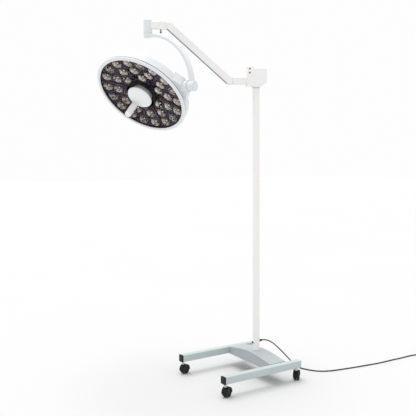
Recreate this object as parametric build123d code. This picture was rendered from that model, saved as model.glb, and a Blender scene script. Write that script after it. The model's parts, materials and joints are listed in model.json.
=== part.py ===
from build123d import *

import os
from math import asin, cos, pi, radians, sin, sqrt, tan

# A mobile surgical light: an H-shaped base on four casters, a column, a swivel hub, a spring arm that
# keeps its front end level, a one-armed yoke and a round head with 36 reflectors and a pull-off handle.
# Millimetres. +Z is up, the column's axis is X = Y = 0 and the wheels stand on Z = 0.
# The legs run along X, and their front ends, the side the head reaches over, point to -X.

# ---- Base -----------------------------------------------------------------------------------------
LEG_Y = 212.0            # each leg's centre line from the column
LEG_WIDTH = 36.0
LEG_HEIGHT = 38.0
LEG_WALL = 3.0
LEG_CORNER = 4.0
LEG_FRONT = -363.0
LEG_REAR = 130.0
CAP_REACH = 9.0          # how far an end cap stands out of its leg

WHEEL_R = 25.5
WHEEL_WIDTH = 11.0
WHEEL_GAP = 7.0          # between the two wheels of a caster
CASTER_TRAIL = 13.0
HOOD_GAP = 1.0
HOOD_WALL = 1.5
AXLE_R = 4.0
STEM_R = 5.0
STEM_REACH = 38.0        # stem length inside its socket
SOCKET_R = 7.0
SOCKET_DROP = 16.5       # socket length below the leg
RUNNING_FIT = 0.05       # radial clearance of every turning shaft
FREE_GAP = 0.5           # least gap between pieces that move past each other
FRONT_CASTER_IN = 8.0    # swivel axis from the leg's front end
END_BLOCK = 16.0         # length of the block that ends each leg and holds its front caster
REAR_CASTER_IN = 16.0    # swivel axis from the leg's rear end

HUB_HALF_X = 52.0
HUB_CREST_R = 600.0      # crown radius of the hub cover's arch
HUB_CREST_HALF = 90.0    # half width of the crown, straight slopes beyond it
HUB_CREST_RISE = 24.4    # crest above the top of the legs
HUB_WALL = 3.0
BEAM_THICK = 12.0
BEAM_HALF_X = 48.0
FLANGE_THICK = 8.0
SOCKET_WALL = 6.0
FOOT_LENGTH = 36.0       # column socket above its flange
BOLT_R = 4.0
BOLT_HEAD_R = 6.5
BOLT_HEAD_H = 5.0

# ---- Column and mains inlet --------------------------------------------------------------------
COLUMN_R = 20.0
COLUMN_WALL = 2.5
FLANGE_R = COLUMN_R + 24.0
BOLT_CIRCLE_R = COLUMN_R + 15.0
COLUMN_TOP = 1612.0
SPIGOT_FLANGE = 6.0
SPIGOT_PLUG = 70.0
SPINDLE_R = 12.0
SWITCH_Z = 178.0
BUTTON_R = 5.9
BUTTON_TRAVEL = 1.5
BEZEL_PROUD = 2.5        # switch bezel out of the column
CORD_Z = 182.0
CORD_R = 3.5
GLAND_PROUD = 3.5        # strain relief's flange out of the column
GLAND_END = COLUMN_R + 22.0   # its mouth from the column's axis
SUPPLY_Z = 230.0
SUPPLY_LENGTH = 120.0

# ---- Swivel hub, in arm coordinates: x along the arm, z up ---------------------------------------
ARM_YAW = 155.3          # direction of the arm about the column, from +X
HEAD_BLOCK_BACK = 57.0
HEAD_BLOCK_FRONT = 20.0
HUB_BLOCK_H = 106.0
HUB_HALF_Y = 31.0
ROOT_BLOCK_FRONT = 57.0
BUSH_R = 15.0
BUSH_LENGTH = 20.0
SCREW_R = 3.0
SCREW_HEAD_R = 4.5

# ---- Spring arm ---------------------------------------------------------------------------------
ELBOW_X = 155.0
ELBOW_RISE = 41.0        # elbow pivot above the column's top
ARM_LENGTH = 452.0       # pivot to pivot
ARM_RISE = 41.4          # degrees above level at rest
ARM_HALF_W = 19.5        # half height of the arm's cover
ARM_HALF_Y = 19.0
COVER_WALL = 2.0
PIN_R = 5.0
ROD_R = 3.0
ROD_DROP = 13.0          # parallel rod's pivots below the arm's pivots
ROD_PIN_R = 1.8
TONGUE_R = 17.0
TONGUE_SIDE = -13.0
TONGUE_INNER = 3.0
ROD_Y = 8.0
ROD_EYE_HALF = 3.0
NECK_HALF = 10.0
KNUCKLE_SEAT = 14.0      # from a pivot to the flat end of the block that holds it

# ---- Level front block, bearing and yoke ----------------------------------------------------------
BLOCK_HALF_H = 22.0
BLOCK_RISE = 2.0
COLLAR_BACK = 57.0       # collar's start from the pivot
YOKE_AXIS_X = 118.0      # yoke's turning axis from the arm's front pivot
HOUSING_R = 24.0
HOUSING_BOTTOM = -43.0   # from the front pivot's height
HOUSING_TOP = 30.0
BEARING_R = 14.0
BEARING_LENGTH = 12.0
YOKE_SPINDLE_R = 10.0
LOCK_X = 46.0            # lock screw from the front pivot
LOCK_R = 3.5
LOCK_DROP = 20.0

YOKE_CLEARANCE = 28.0    # between the shell's rim and the middle of the yoke's bow
YOKE_THICK = 18.0
YOKE_HALF_W = 16.0
PADDLE_R = 27.5
PADDLE_THICK = 38.0
TILT_SHAFT_R = 9.0
YOKE_DIRECTION = (0.3614, -0.9324, 0.0)   # level, from the yoke's axis towards its arm

# ---- Head, in head coordinates: z out of the light face, x along the tilt axis to the yoke ------
HEAD_DIRECTION = (-0.638, -0.2473, -0.7292)
HEAD_OFFSET = 24.0       # head's centre beyond the yoke's axis
SHELL_R = 270.0
SHELL_WALL = 3.0
SHELL_FRONT = 36.0
SHELL_SIDE_BACK = -6.0
SHELL_BACK = -38.0
BEZEL_INNER_R = SHELL_R - 19.0
FACE_Z = 49.0            # inner edge of the bezel
COVER_R = SHELL_R - 14.0
BOARD_R = SHELL_R - 27.0
YOKE_DROP = SHELL_R + YOKE_CLEARANCE   # from the yoke's root to the tilt axis
COVER_THICK = 3.0
DISH_DEPTH = 38.0        # lens carrier's centre below the face
DISH_R = 1250.0          # its radius, so that every beam points at the same spot
CARRIER_THICK = 4.0
BOARD_DEPTH = 22.0       # circuit board below the carrier
REFLECTOR_R = 26.0
REFLECTOR_FLANGE = 2.0
LENS_ROWS = ((112.0, (0.0,)), (160.0, (-15.5, 15.5)), (219.0, (-19.7, 0.0, 19.7)))
SECTORS = 6
RIB_WIDTH = 8.0
RIB_HEIGHT = 5.0
RECESS_R = 89.0
RECESS_WALL = 2.5
RECESS_FLOOR = 22.0
DOME_R = 73.0
DOME_WALL = 4.0
HANDLE_ROOT = 104.0
HANDLE_TIP = 202.0
HANDLE_R = 17.5
HANDLE_BORE_R = 9.0
SPIGOT_REACH = 66.0      # handle spigot inside the handle
BOSS_R = 31.5
BOSS_LENGTH = 44.0


# ---- Shape helpers ----------------------------------------------------------------------------
def rod(start, end, radius):
    """A round bar between two points."""
    along = Vector(*end) - Vector(*start)
    return Solid.make_cylinder(radius, along.length, Plane(origin=start, z_dir=along))


def tube(start, end, outer, inner):
    return rod(start, end, outer) - rod(start, end, inner)


def block(x, y, z):
    """A box from its ranges along X, Y and Z."""
    size = [high - low for low, high in (x, y, z)]
    middle = [(high + low) / 2 for low, high in (x, y, z)]
    return Pos(*middle) * Box(*size)


def lathe(*points):
    """A solid turned about Z from (radius, z) points."""
    outline = Polyline(*[(r, 0, z) for r, z in points], close=True)
    return revolve(make_face(outline), Axis.Z)


def plate(points, low, high):
    """An outline in XZ, pushed along Y from low to high."""
    face = make_face(Polyline(*[(x, low, z) for x, z in points], close=True))
    return extrude(face, amount=high - low, dir=(0, 1, 0))


def softened(shape, axis, radius):
    """Rounds the edges that run along one axis."""
    return fillet(shape.edges().filter_by(axis), radius)


def write(name, shape):
    solids = shape if isinstance(shape, list) else shape.solids()
    export_step(solids[0] if len(solids) == 1 else Compound(children=list(solids)), f"parts/{name}.step")


# ---- Places worked out from the sizes -------------------------------------------------------------
LEG_TOP = 2 * WHEEL_R + HOOD_GAP + HOOD_WALL + SOCKET_DROP + 2 * FREE_GAP + LEG_HEIGHT
LEG_BOTTOM = LEG_TOP - LEG_HEIGHT
CASTERS = {                                # x, y and heading of each caster, in degrees from +X
    "front_left": (LEG_FRONT + FRONT_CASTER_IN, -LEG_Y, 22.0),
    "front_right": (LEG_FRONT + FRONT_CASTER_IN, LEG_Y, 18.0),
    "rear_left": (LEG_REAR - REAR_CASTER_IN, -LEG_Y, 38.0),
    "rear_right": (LEG_REAR - REAR_CASTER_IN, LEG_Y, 26.0),
}
HUB_HALF_Y_LEGS = LEG_Y - LEG_WIDTH / 2
HUB_CREST = LEG_TOP + HUB_CREST_RISE
BEAM_BOTTOM = LEG_BOTTOM
FLANGE_BOTTOM = BEAM_BOTTOM + BEAM_THICK
COLUMN_FOOT = FLANGE_BOTTOM + FLANGE_THICK
COLUMN_BORE = COLUMN_R - COLUMN_WALL
SPINDLE_FOOT = COLUMN_TOP + SPIGOT_FLANGE
HUB_BOTTOM = SPINDLE_FOOT + FREE_GAP
HUB_TOP = HUB_BOTTOM + HUB_BLOCK_H

ARM_PLACE = Location((0, 0, 0), (0, 0, ARM_YAW))
ELBOW = (ELBOW_X, COLUMN_TOP + ELBOW_RISE)
FRONT_PIVOT = (
    ELBOW[0] + ARM_LENGTH * cos(radians(ARM_RISE)),
    ELBOW[1] + ARM_LENGTH * sin(radians(ARM_RISE)),
)
SPRING_PLACE = ARM_PLACE * Location((ELBOW[0], 0, ELBOW[1]), (0, -ARM_RISE, 0))
YOKE_ROOT_X = FRONT_PIVOT[0] + YOKE_AXIS_X
YOKE_TOP = FRONT_PIVOT[1] + HOUSING_BOTTOM - FREE_GAP      # top face of the yoke's root
YOKE_MID = YOKE_TOP - 4.0 - YOKE_THICK / 2
TILT_Z = YOKE_MID - YOKE_DROP
YOKE_AXIS = Vector(YOKE_ROOT_X, 0, 0).rotate(Axis.Z, ARM_YAW)
YOKE_PLACE = Plane(origin=YOKE_AXIS, x_dir=YOKE_DIRECTION, z_dir=(0, 0, 1)).location
HEAD_CENTRE = YOKE_AXIS - Vector(*YOKE_DIRECTION) * HEAD_OFFSET + Vector(0, 0, TILT_Z)
HEAD_PLACE = Plane(origin=HEAD_CENTRE, x_dir=YOKE_DIRECTION, z_dir=HEAD_DIRECTION).location
BOSS_FACE = SHELL_R + BOSS_LENGTH
YOKE_REACH = BOSS_FACE + FREE_GAP + PADDLE_THICK / 2 - HEAD_OFFSET


# ---- Base ---------------------------------------------------------------------------------------
def leg(side):
    width, height = LEG_WIDTH, LEG_HEIGHT
    y = side * LEG_Y
    start = LEG_FRONT + END_BLOCK
    body = softened(
        block((start, LEG_REAR), (y - width / 2, y + width / 2), (LEG_BOTTOM, LEG_TOP)), Axis.X, LEG_CORNER
    )
    inside = block(
        (start, LEG_REAR),
        (y - width / 2 + LEG_WALL, y + width / 2 - LEG_WALL),
        (LEG_BOTTOM + LEG_WALL, LEG_TOP - LEG_WALL),
    )
    x = LEG_REAR - REAR_CASTER_IN
    return body - inside - rod((x, y, LEG_BOTTOM - 1), (x, y, LEG_BOTTOM + LEG_WALL + 1), SOCKET_R)


def leg_cap(side, end, corner):
    """A plate with rounded edges over a leg's end."""
    outward = -1 if end < 0 else 1
    y = side * LEG_Y
    face = block(
        sorted((end, end + outward * CAP_REACH)),
        (y - LEG_WIDTH / 2, y + LEG_WIDTH / 2),
        (LEG_BOTTOM, LEG_TOP),
    )
    face = softened(face, Axis.X, LEG_CORNER)
    outer = Axis.X if outward > 0 else -Axis.X
    face = fillet(face.faces().sort_by(outer)[-1].edges(), corner)
    return face


def caster_socket(x, y):
    """A sleeve that a caster's stem turns in: through the leg's floor, or in the block at its front end."""
    top = LEG_TOP - LEG_WALL
    sleeve = rod((x, y, LEG_BOTTOM - SOCKET_DROP), (x, y, top), SOCKET_R)
    if x < 0:
        wide = (y - LEG_WIDTH / 2, y + LEG_WIDTH / 2)
        end = block((LEG_FRONT, LEG_FRONT + END_BLOCK), wide, (LEG_BOTTOM, LEG_TOP))
        sleeve += softened(end, Axis.X, LEG_CORNER)
    return sleeve - rod((x, y, LEG_BOTTOM - SOCKET_DROP), (x, y, top - 4), STEM_R + RUNNING_FIT)


def caster_place(name):
    x, y, heading = CASTERS[name]
    return Location((x, y, 0), (0, 0, heading))


def caster_fork():
    """The hooded body between a caster's two wheels, with its stem on Z and its wheels trailing along +X."""
    x = CASTER_TRAIL
    outer = WHEEL_R + HOOD_GAP + HOOD_WALL
    half = WHEEL_GAP / 2 + WHEEL_WIDTH + 1.0
    hood = tube((x, -half, WHEEL_R), (x, half, WHEEL_R), outer, outer - HOOD_WALL)
    hood &= block((x - outer, x + outer), (-half, half), (WHEEL_R - 6, WHEEL_R + outer))
    web_half = WHEEL_GAP / 2 - FREE_GAP
    web = rod((x, -web_half, WHEEL_R), (x, web_half, WHEEL_R), outer - HOOD_WALL / 2)
    web &= block((x - outer, x + outer), (-half, half), (WHEEL_R - 14, WHEEL_R + outer))
    boss_top = LEG_BOTTOM - SOCKET_DROP - FREE_GAP
    boss = rod((0, 0, WHEEL_R + outer * 0.6), (0, 0, boss_top), SOCKET_R)
    boss -= rod((x, -half, WHEEL_R), (x, half, WHEEL_R), outer - HOOD_WALL / 2)
    stem = rod((0, 0, boss_top - 3), (0, 0, boss_top + STEM_REACH), STEM_R)
    fork = hood + web + boss + stem
    return fork - rod((x, -half, WHEEL_R), (x, half, WHEEL_R), AXLE_R + RUNNING_FIT)


def caster_wheels():
    """Two wheels on one axle, three solids, in the fork's place."""
    x = CASTER_TRAIL
    reach = WHEEL_GAP / 2 + WHEEL_WIDTH - 2
    pieces = [rod((x, -reach, WHEEL_R), (x, reach, WHEEL_R), AXLE_R)]
    for side in (-1, 1):
        inner, outer = side * WHEEL_GAP / 2, side * (WHEEL_GAP / 2 + WHEEL_WIDTH)
        wheel = rod((x, inner, WHEEL_R), (x, outer, WHEEL_R), WHEEL_R)
        wheel = fillet(wheel.edges().filter_by(GeomType.CIRCLE), 2.5)
        wheel -= tube((x, outer - side * 2, WHEEL_R), (x, outer + side, WHEEL_R), WHEEL_R - 7, AXLE_R + 4)
        wheel -= rod((x, inner, WHEEL_R), (x, outer - side * 2, WHEEL_R), AXLE_R)
        pieces.append(wheel.solids()[0])
    return pieces


def arch(drop, half_y):
    """The hub cover's arch over Y, as a face at X = 0: a crown arc and two straight slopes."""
    radius = HUB_CREST_R - drop
    turn = asin(HUB_CREST_HALF / HUB_CREST_R)
    crest = HUB_CREST - drop
    knee_y = radius * sin(turn)
    knee_z = crest - radius * (1 - cos(turn))
    end_z = knee_z - (half_y - knee_y) * tan(turn)
    floor = LEG_BOTTOM - 1 if drop else LEG_BOTTOM
    outline = [
        ThreePointArc((0, -knee_y, knee_z), (0, 0, crest), (0, knee_y, knee_z)),
        Line((0, knee_y, knee_z), (0, half_y, end_z)),
        Line((0, half_y, end_z), (0, half_y, floor)),
        Line((0, half_y, floor), (0, -half_y, floor)),
        Line((0, -half_y, floor), (0, -half_y, end_z)),
        Line((0, -half_y, end_z), (0, -knee_y, knee_z)),
    ]
    return make_face(outline)


def arch_solid(drop, half_x, half_y):
    return extrude(arch(drop, half_y), amount=half_x, both=True, dir=(1, 0, 0))


def hub_cover():
    shell = arch_solid(0, HUB_HALF_X, HUB_HALF_Y_LEGS)
    top_edges = shell.edges().filter_by(lambda e: e.center().Z > LEG_TOP - 8 and abs(e.center().X) > HUB_HALF_X - 1)
    shell = fillet(top_edges, 2.5)
    shell -= arch_solid(HUB_WALL, HUB_HALF_X - HUB_WALL, HUB_HALF_Y_LEGS)
    return shell - rod((0, 0, LEG_TOP), (0, 0, HUB_CREST + 5), COLUMN_R)


def cross_beam():
    """The steel bed between the legs, which also closes the hub's underside."""
    half_x = BEAM_HALF_X
    bed = block((-half_x, half_x), (-HUB_HALF_Y_LEGS, HUB_HALF_Y_LEGS), (BEAM_BOTTOM, FLANGE_BOTTOM))
    for x, y in bolt_places():
        bed -= rod((x, y, BEAM_BOTTOM), (x, y, FLANGE_BOTTOM), BOLT_R)
    return bed


def bolt_places():
    return [
        (BOLT_CIRCLE_R * cos(radians(45 + 90 * k)), BOLT_CIRCLE_R * sin(radians(45 + 90 * k))) for k in range(4)
    ]


def counterweights():
    """Two cast blocks that fill the hub on either side of the column's socket."""
    filled = arch_solid(HUB_WALL + 2, BEAM_HALF_X - 1, HUB_HALF_Y_LEGS - 4)
    filled &= block((-HUB_HALF_X, HUB_HALF_X), (-LEG_Y, LEG_Y), (FLANGE_BOTTOM, HUB_CREST))
    gap = FLANGE_R + 2
    left = filled & block((-HUB_HALF_X, HUB_HALF_X), (-LEG_Y, -gap), (FLANGE_BOTTOM, HUB_CREST))
    right = filled & block((-HUB_HALF_X, HUB_HALF_X), (gap, LEG_Y), (FLANGE_BOTTOM, HUB_CREST))
    return [left.solids()[0], right.solids()[0]]


def column_socket():
    flange = rod((0, 0, FLANGE_BOTTOM), (0, 0, COLUMN_FOOT), FLANGE_R)
    for x, y in bolt_places():
        flange -= rod((x, y, FLANGE_BOTTOM), (x, y, COLUMN_FOOT), BOLT_R)
    barrel = tube((0, 0, COLUMN_FOOT), (0, 0, COLUMN_FOOT + FOOT_LENGTH), COLUMN_R + SOCKET_WALL, COLUMN_R)
    return flange + barrel


def socket_bolt(x, y):
    head = Pos(x, y, COLUMN_FOOT) * extrude(RegularPolygon(BOLT_HEAD_R, 6), amount=BOLT_HEAD_H)
    return head + rod((x, y, BEAM_BOTTOM + 1), (x, y, COLUMN_FOOT + 1), BOLT_R)


# ---- Column and mains inlet ----------------------------------------------------------------------
def column_tube():
    body = tube((0, 0, COLUMN_FOOT), (0, 0, COLUMN_TOP), COLUMN_R, COLUMN_BORE)
    body -= rod((0, 0, SWITCH_Z), (-COLUMN_R - 2, 0, SWITCH_Z), BUTTON_R + 2.1)
    return body - rod((0, 0, CORD_Z), (COLUMN_R + 2, 0, CORD_Z), CORD_R + 2.5)


def switch_bezel():
    """A saddle-shaped collar on the column that guides the power button."""
    x_out = -COLUMN_R - BEZEL_PROUD
    flange = rod((-COLUMN_R + 8, 0, SWITCH_Z), (x_out, 0, SWITCH_Z), BUTTON_R + 4.1)
    flange -= rod((0, 0, SWITCH_Z - 30), (0, 0, SWITCH_Z + 30), COLUMN_R)
    barrel = rod((-COLUMN_R + 4.5, 0, SWITCH_Z), (x_out, 0, SWITCH_Z), BUTTON_R + 2.1)
    return flange + barrel - rod((0, 0, SWITCH_Z), (x_out - 1, 0, SWITCH_Z), BUTTON_R + 0.3)


def power_button():
    """A push button with a collar behind its bezel."""
    front = -COLUMN_R - BEZEL_PROUD - BUTTON_TRAVEL - 2.5
    back = -COLUMN_R + 7.5
    body = rod((back, 0, SWITCH_Z), (front, 0, SWITCH_Z), BUTTON_R)
    body = fillet(body.edges().sort_by(Axis.X)[0], 1.2)
    return body + rod((back, 0, SWITCH_Z), (back - 2.5, 0, SWITCH_Z), BUTTON_R + 1.2)


def cable_gland():
    """A flanged strain relief that tapers towards the cord."""
    face = COLUMN_R + GLAND_PROUD
    flange = rod((COLUMN_R - 10, 0, CORD_Z), (face, 0, CORD_Z), CORD_R + 5)
    flange -= rod((0, 0, CORD_Z - 30), (0, 0, CORD_Z + 30), COLUMN_R)
    barrel = rod((COLUMN_R - 6, 0, CORD_Z), (face, 0, CORD_Z), CORD_R + 2.5)
    reach = GLAND_END - face
    taper = Pos(face + reach / 2, 0, CORD_Z) * Rot(0, 90, 0) * Cone(CORD_R + 3.2, CORD_R + 1.2, reach)
    return flange + barrel + taper


def power_supply():
    """A potted driver, cemented to the inside of the column above its inlet."""
    high = SUPPLY_Z + SUPPLY_LENGTH
    core = rod((0, 0, SUPPLY_Z), (0, 0, high), COLUMN_BORE)
    return core & block((-4, COLUMN_R), (-COLUMN_R, COLUMN_R), (SUPPLY_Z, high))


def swivel_shaft():
    plug = rod((0, 0, COLUMN_TOP - SPIGOT_PLUG), (0, 0, COLUMN_TOP), COLUMN_BORE)
    flange = rod((0, 0, COLUMN_TOP), (0, 0, SPINDLE_FOOT), COLUMN_R)
    return plug + flange + rod((0, 0, SPINDLE_FOOT), (0, 0, HUB_TOP - 12), SPINDLE_R)


# ---- Swivel hub ---------------------------------------------------------------------------------
def column_head():
    """The hub's rear housing, with its bottom rear corner cut off at a slant."""
    outline = [
        (HEAD_BLOCK_FRONT, HUB_BOTTOM),
        (-COLUMN_R, HUB_BOTTOM),
        (-HEAD_BLOCK_BACK, HUB_BOTTOM + 27),
        (-HEAD_BLOCK_BACK, HUB_TOP),
        (HEAD_BLOCK_FRONT, HUB_TOP),
    ]
    body = plate(outline, -HUB_HALF_Y, HUB_HALF_Y)
    rear = body.edges().filter_by(Axis.Z).filter_by(lambda e: e.center().X < -HEAD_BLOCK_BACK + 1)
    body = fillet(rear, 9)
    body = fillet(body.faces().sort_by(Axis.Z)[-1].edges().filter_by(lambda e: e.center().X < HEAD_BLOCK_FRONT - 1), 3)
    body -= rod((0, 0, HUB_BOTTOM), (0, 0, HUB_TOP - 8), SPINDLE_R + 1)
    for low in (HUB_BOTTOM, HUB_TOP - 12 - BUSH_LENGTH):
        body -= rod((0, 0, low), (0, 0, low + BUSH_LENGTH), BUSH_R)
    return body


def column_bushes():
    lows = (HUB_BOTTOM, HUB_TOP - 12 - BUSH_LENGTH)
    return [tube((0, 0, z), (0, 0, z + BUSH_LENGTH), BUSH_R, SPINDLE_R + RUNNING_FIT) for z in lows]


def hub_screw_places():
    return [(43.0, HUB_TOP - 3.0), (43.0, HUB_TOP - 26.0)]


def arm_root():
    """The hub's front block, the level root arm and the tongue that the spring arm turns on."""
    low, high = HUB_BOTTOM + 7, HUB_TOP + 10
    front = block((HEAD_BLOCK_FRONT, ROOT_BLOCK_FRONT), (-HUB_HALF_Y, HUB_HALF_Y), (low, high))
    front = fillet(front.edges().filter_by(Axis.Z).filter_by(lambda e: e.center().X > ROOT_BLOCK_FRONT - 1), 10)
    front = fillet(front.faces().sort_by(Axis.Z)[-1].edges().filter_by(lambda e: e.center().X > HEAD_BLOCK_FRONT + 1), 3)
    x, z = ELBOW
    bar = block((ROOT_BLOCK_FRONT - 5, x - KNUCKLE_SEAT), (-ARM_HALF_Y, ARM_HALF_Y), (z - 19, z + 21))
    bar = softened(bar, Axis.X, 4)
    bar -= rod((x, -ARM_HALF_Y, z), (x, ARM_HALF_Y, z), ARM_HALF_W + FREE_GAP)
    body = front + bar + tongue(x, z, -1)
    for screw_x, screw_z in hub_screw_places():
        body -= rod((screw_x, HUB_HALF_Y - 18, screw_z), (screw_x, HUB_HALF_Y, screw_z), SCREW_R)
        body -= rod((screw_x, HUB_HALF_Y - 2, screw_z), (screw_x, HUB_HALF_Y + 1, screw_z), SCREW_HEAD_R)
    return body


def tongue(x, z, back):
    """A round-ended tongue about a pivot, with its neck and the parallel rod's fixed pin."""
    drum = rod((x, TONGUE_SIDE, z), (x, TONGUE_INNER, z), TONGUE_R)
    reach = back * (ARM_HALF_W + FREE_GAP + 1)
    neck = block(sorted((x, x + reach)), (TONGUE_SIDE, TONGUE_INNER), (z - NECK_HALF, z + NECK_HALF))
    pin_end = ROD_Y + ROD_EYE_HALF + 0.8
    pin = rod((x, TONGUE_INNER - 2, z - ROD_DROP), (x, pin_end, z - ROD_DROP), ROD_PIN_R)
    return drum + neck + pin - rod((x, TONGUE_SIDE, z), (x, TONGUE_INNER, z), PIN_R + RUNNING_FIT)


def hub_screw(x, z):
    head = rod((x, HUB_HALF_Y - 2, z), (x, HUB_HALF_Y + 1.5, z), SCREW_HEAD_R)
    shank = rod((x, HUB_HALF_Y - 17, z), (x, HUB_HALF_Y - 2, z), SCREW_R)
    socket = Pos(x, HUB_HALF_Y + 1.5, z) * Rot(90, 0, 0) * extrude(RegularPolygon(2.2, 6), amount=-2, both=True)
    return head + shank - socket


# ---- Spring arm, in its own coordinates: x from the elbow pivot to the front pivot ---------------
def arm_outline(radius, low, high):
    """A bar along the arm with a full round at each pivot."""
    bar = block((0, ARM_LENGTH), (low, high), (-radius, radius))
    return bar + rod((0, low, 0), (0, high, 0), radius) + rod((ARM_LENGTH, low, 0), (ARM_LENGTH, high, 0), radius)


def arm_beam():
    """Two steel side plates joined by a top web and by the seats of the balance spring."""
    inner = ARM_HALF_Y - COVER_WALL - 3.5
    outer = ARM_HALF_Y - COVER_WALL
    frame = arm_outline(14, -outer, -inner) + arm_outline(14, inner, outer)
    frame += block((40, ARM_LENGTH - 40), (-outer, outer), (10.5, 13.5))
    for x in (52, 304):
        frame += block((x, x + 8), (-outer, outer), (-5.6, 13.5))
    for x in (0, ARM_LENGTH):
        frame -= rod((x, -outer, 0), (x, outer, 0), PIN_R)
    return frame


def arm_upper_cover():
    """The moulded cover over the arm's top and sides."""
    outer = arm_outline(ARM_HALF_W, -ARM_HALF_Y, ARM_HALF_Y)
    inner = arm_outline(ARM_HALF_W - COVER_WALL, -ARM_HALF_Y + COVER_WALL, ARM_HALF_Y - COVER_WALL)
    shell = softened(outer, Axis.X, 1.8) - inner
    inside = ARM_HALF_Y - COVER_WALL
    for x0, x1 in ((-ARM_HALF_W, 2.0), (ARM_LENGTH - 2.0, ARM_LENGTH + ARM_HALF_W)):
        shell -= block((x0, x1), (-inside, inside), (-ARM_HALF_W, ARM_HALF_W))
    return shell - block((0, ARM_LENGTH), (-inside, inside), (-ARM_HALF_W, -10))


def arm_lower_cover():
    """The darker strip that closes the arm's underside."""
    inside = ARM_HALF_Y - COVER_WALL
    return block((2, ARM_LENGTH - 2), (-inside, inside), (-ARM_HALF_W, -ARM_HALF_W + COVER_WALL))


def arm_spring():
    """The balance spring, as a sleeve of its outer and inner size."""
    return tube((60, 0, 2), (304, 0, 2), 7.4, 4.0)


def arm_pins():
    reach = ARM_HALF_Y - COVER_WALL
    return [rod((x, -reach, 0), (x, reach, 0), PIN_R) for x in (0, ARM_LENGTH)]


def parallel_rod():
    """The rod that keeps the front block level, with an eye at each end."""
    low, high = ROD_Y - ROD_EYE_HALF, ROD_Y + ROD_EYE_HALF
    turn = radians(ARM_RISE)
    start = Vector(-ROD_DROP * sin(turn), ROD_Y, -ROD_DROP * cos(turn))
    end = start + Vector(ARM_LENGTH, 0, 0)
    body = rod(start, end, ROD_R - 0.4)
    for at in (start, end):
        body += rod((at.X, low, at.Z), (at.X, high, at.Z), ROD_R + 0.2)
    for at in (start, end):
        body -= rod((at.X, low, at.Z), (at.X, high, at.Z), ROD_PIN_R + RUNNING_FIT)
    return body


# ---- Level front block and bearing, in arm coordinates --------------------------------------------
def knuckle():
    x, z = FRONT_PIVOT
    low, high = z + BLOCK_RISE - BLOCK_HALF_H, z + BLOCK_RISE + BLOCK_HALF_H
    body = block((x + KNUCKLE_SEAT, x + COLLAR_BACK), (-ARM_HALF_Y, ARM_HALF_Y), (low, high))
    body = softened(body, Axis.X, 3)
    body -= rod((x, -ARM_HALF_Y, z), (x, ARM_HALF_Y, z), ARM_HALF_W + FREE_GAP)
    body += tongue(x, z, 1)
    return body - rod((x + LOCK_X, 0, low), (x + LOCK_X, 0, low + 15), LOCK_R + RUNNING_FIT)


def collar():
    """The tapered neck between the block and the bearing housing."""
    x, z = FRONT_PIVOT
    low, high = z + BLOCK_RISE - BLOCK_HALF_H + 1.5, z + BLOCK_RISE + BLOCK_HALF_H - 1.5
    half = ARM_HALF_Y - 1.5
    body = block((x + COLLAR_BACK, x + YOKE_AXIS_X), (-half, half), (low, high))
    body = softened(body, Axis.X, 5)
    return body - rod((x + YOKE_AXIS_X, 0, low), (x + YOKE_AXIS_X, 0, high), HOUSING_R)


def bearing_housing():
    x, z = YOKE_ROOT_X, FRONT_PIVOT[1]
    body = rod((x, 0, z + HOUSING_BOTTOM), (x, 0, z + HOUSING_TOP), HOUSING_R)
    body = fillet(body.edges().filter_by(GeomType.CIRCLE).sort_by(Axis.Z)[-1], 2)
    return body - rod((x, 0, z + HOUSING_BOTTOM), (x, 0, z + HOUSING_TOP - 5), BEARING_R)


def yoke_bearings():
    x, z = YOKE_ROOT_X, FRONT_PIVOT[1]
    lows = (z + HOUSING_BOTTOM, z + HOUSING_TOP - 15 - BEARING_LENGTH)
    ring = YOKE_SPINDLE_R + RUNNING_FIT
    return [tube((x, 0, low), (x, 0, low + BEARING_LENGTH), BEARING_R, ring) for low in lows]


def lock_screw():
    """The brake screw that hangs under the front block."""
    x, z = FRONT_PIVOT
    face = z + BLOCK_RISE - BLOCK_HALF_H
    body = rod((x + LOCK_X, 0, face - LOCK_DROP + 6), (x + LOCK_X, 0, face + 13), LOCK_R)
    knob = rod((x + LOCK_X, 0, face - LOCK_DROP), (x + LOCK_X, 0, face - LOCK_DROP + 9), LOCK_R + 1.5)
    knob = fillet(knob.edges().filter_by(GeomType.CIRCLE), 1)
    slot = block((x + LOCK_X - 6, x + LOCK_X + 6), (-0.6, 0.6), (face - LOCK_DROP - 1, face - LOCK_DROP + 1.5))
    return body + knob - slot


# ---- Yoke, in its own coordinates: x from its turning axis to its arm ------------------------------
def yoke_spindle():
    top = FRONT_PIVOT[1] + HOUSING_TOP - 6
    shaft = rod((0, 0, YOKE_TOP - 18), (0, 0, top), YOKE_SPINDLE_R)
    nut_low = FRONT_PIVOT[1] + HOUSING_TOP - 15 + FREE_GAP
    return shaft + rod((0, 0, nut_low), (0, 0, top), BEARING_R - 2)


def quarter(reach, rise):
    """A quarter of an ellipse about the tilt axis's foot, from level to upright."""
    plane = Plane(origin=(0, 0, TILT_Z), x_dir=(1, 0, 0), z_dir=(0, -1, 0))
    return plane * EllipticalCenterArc((0, 0), reach, rise, start_angle=0, arc_size=90)


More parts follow.
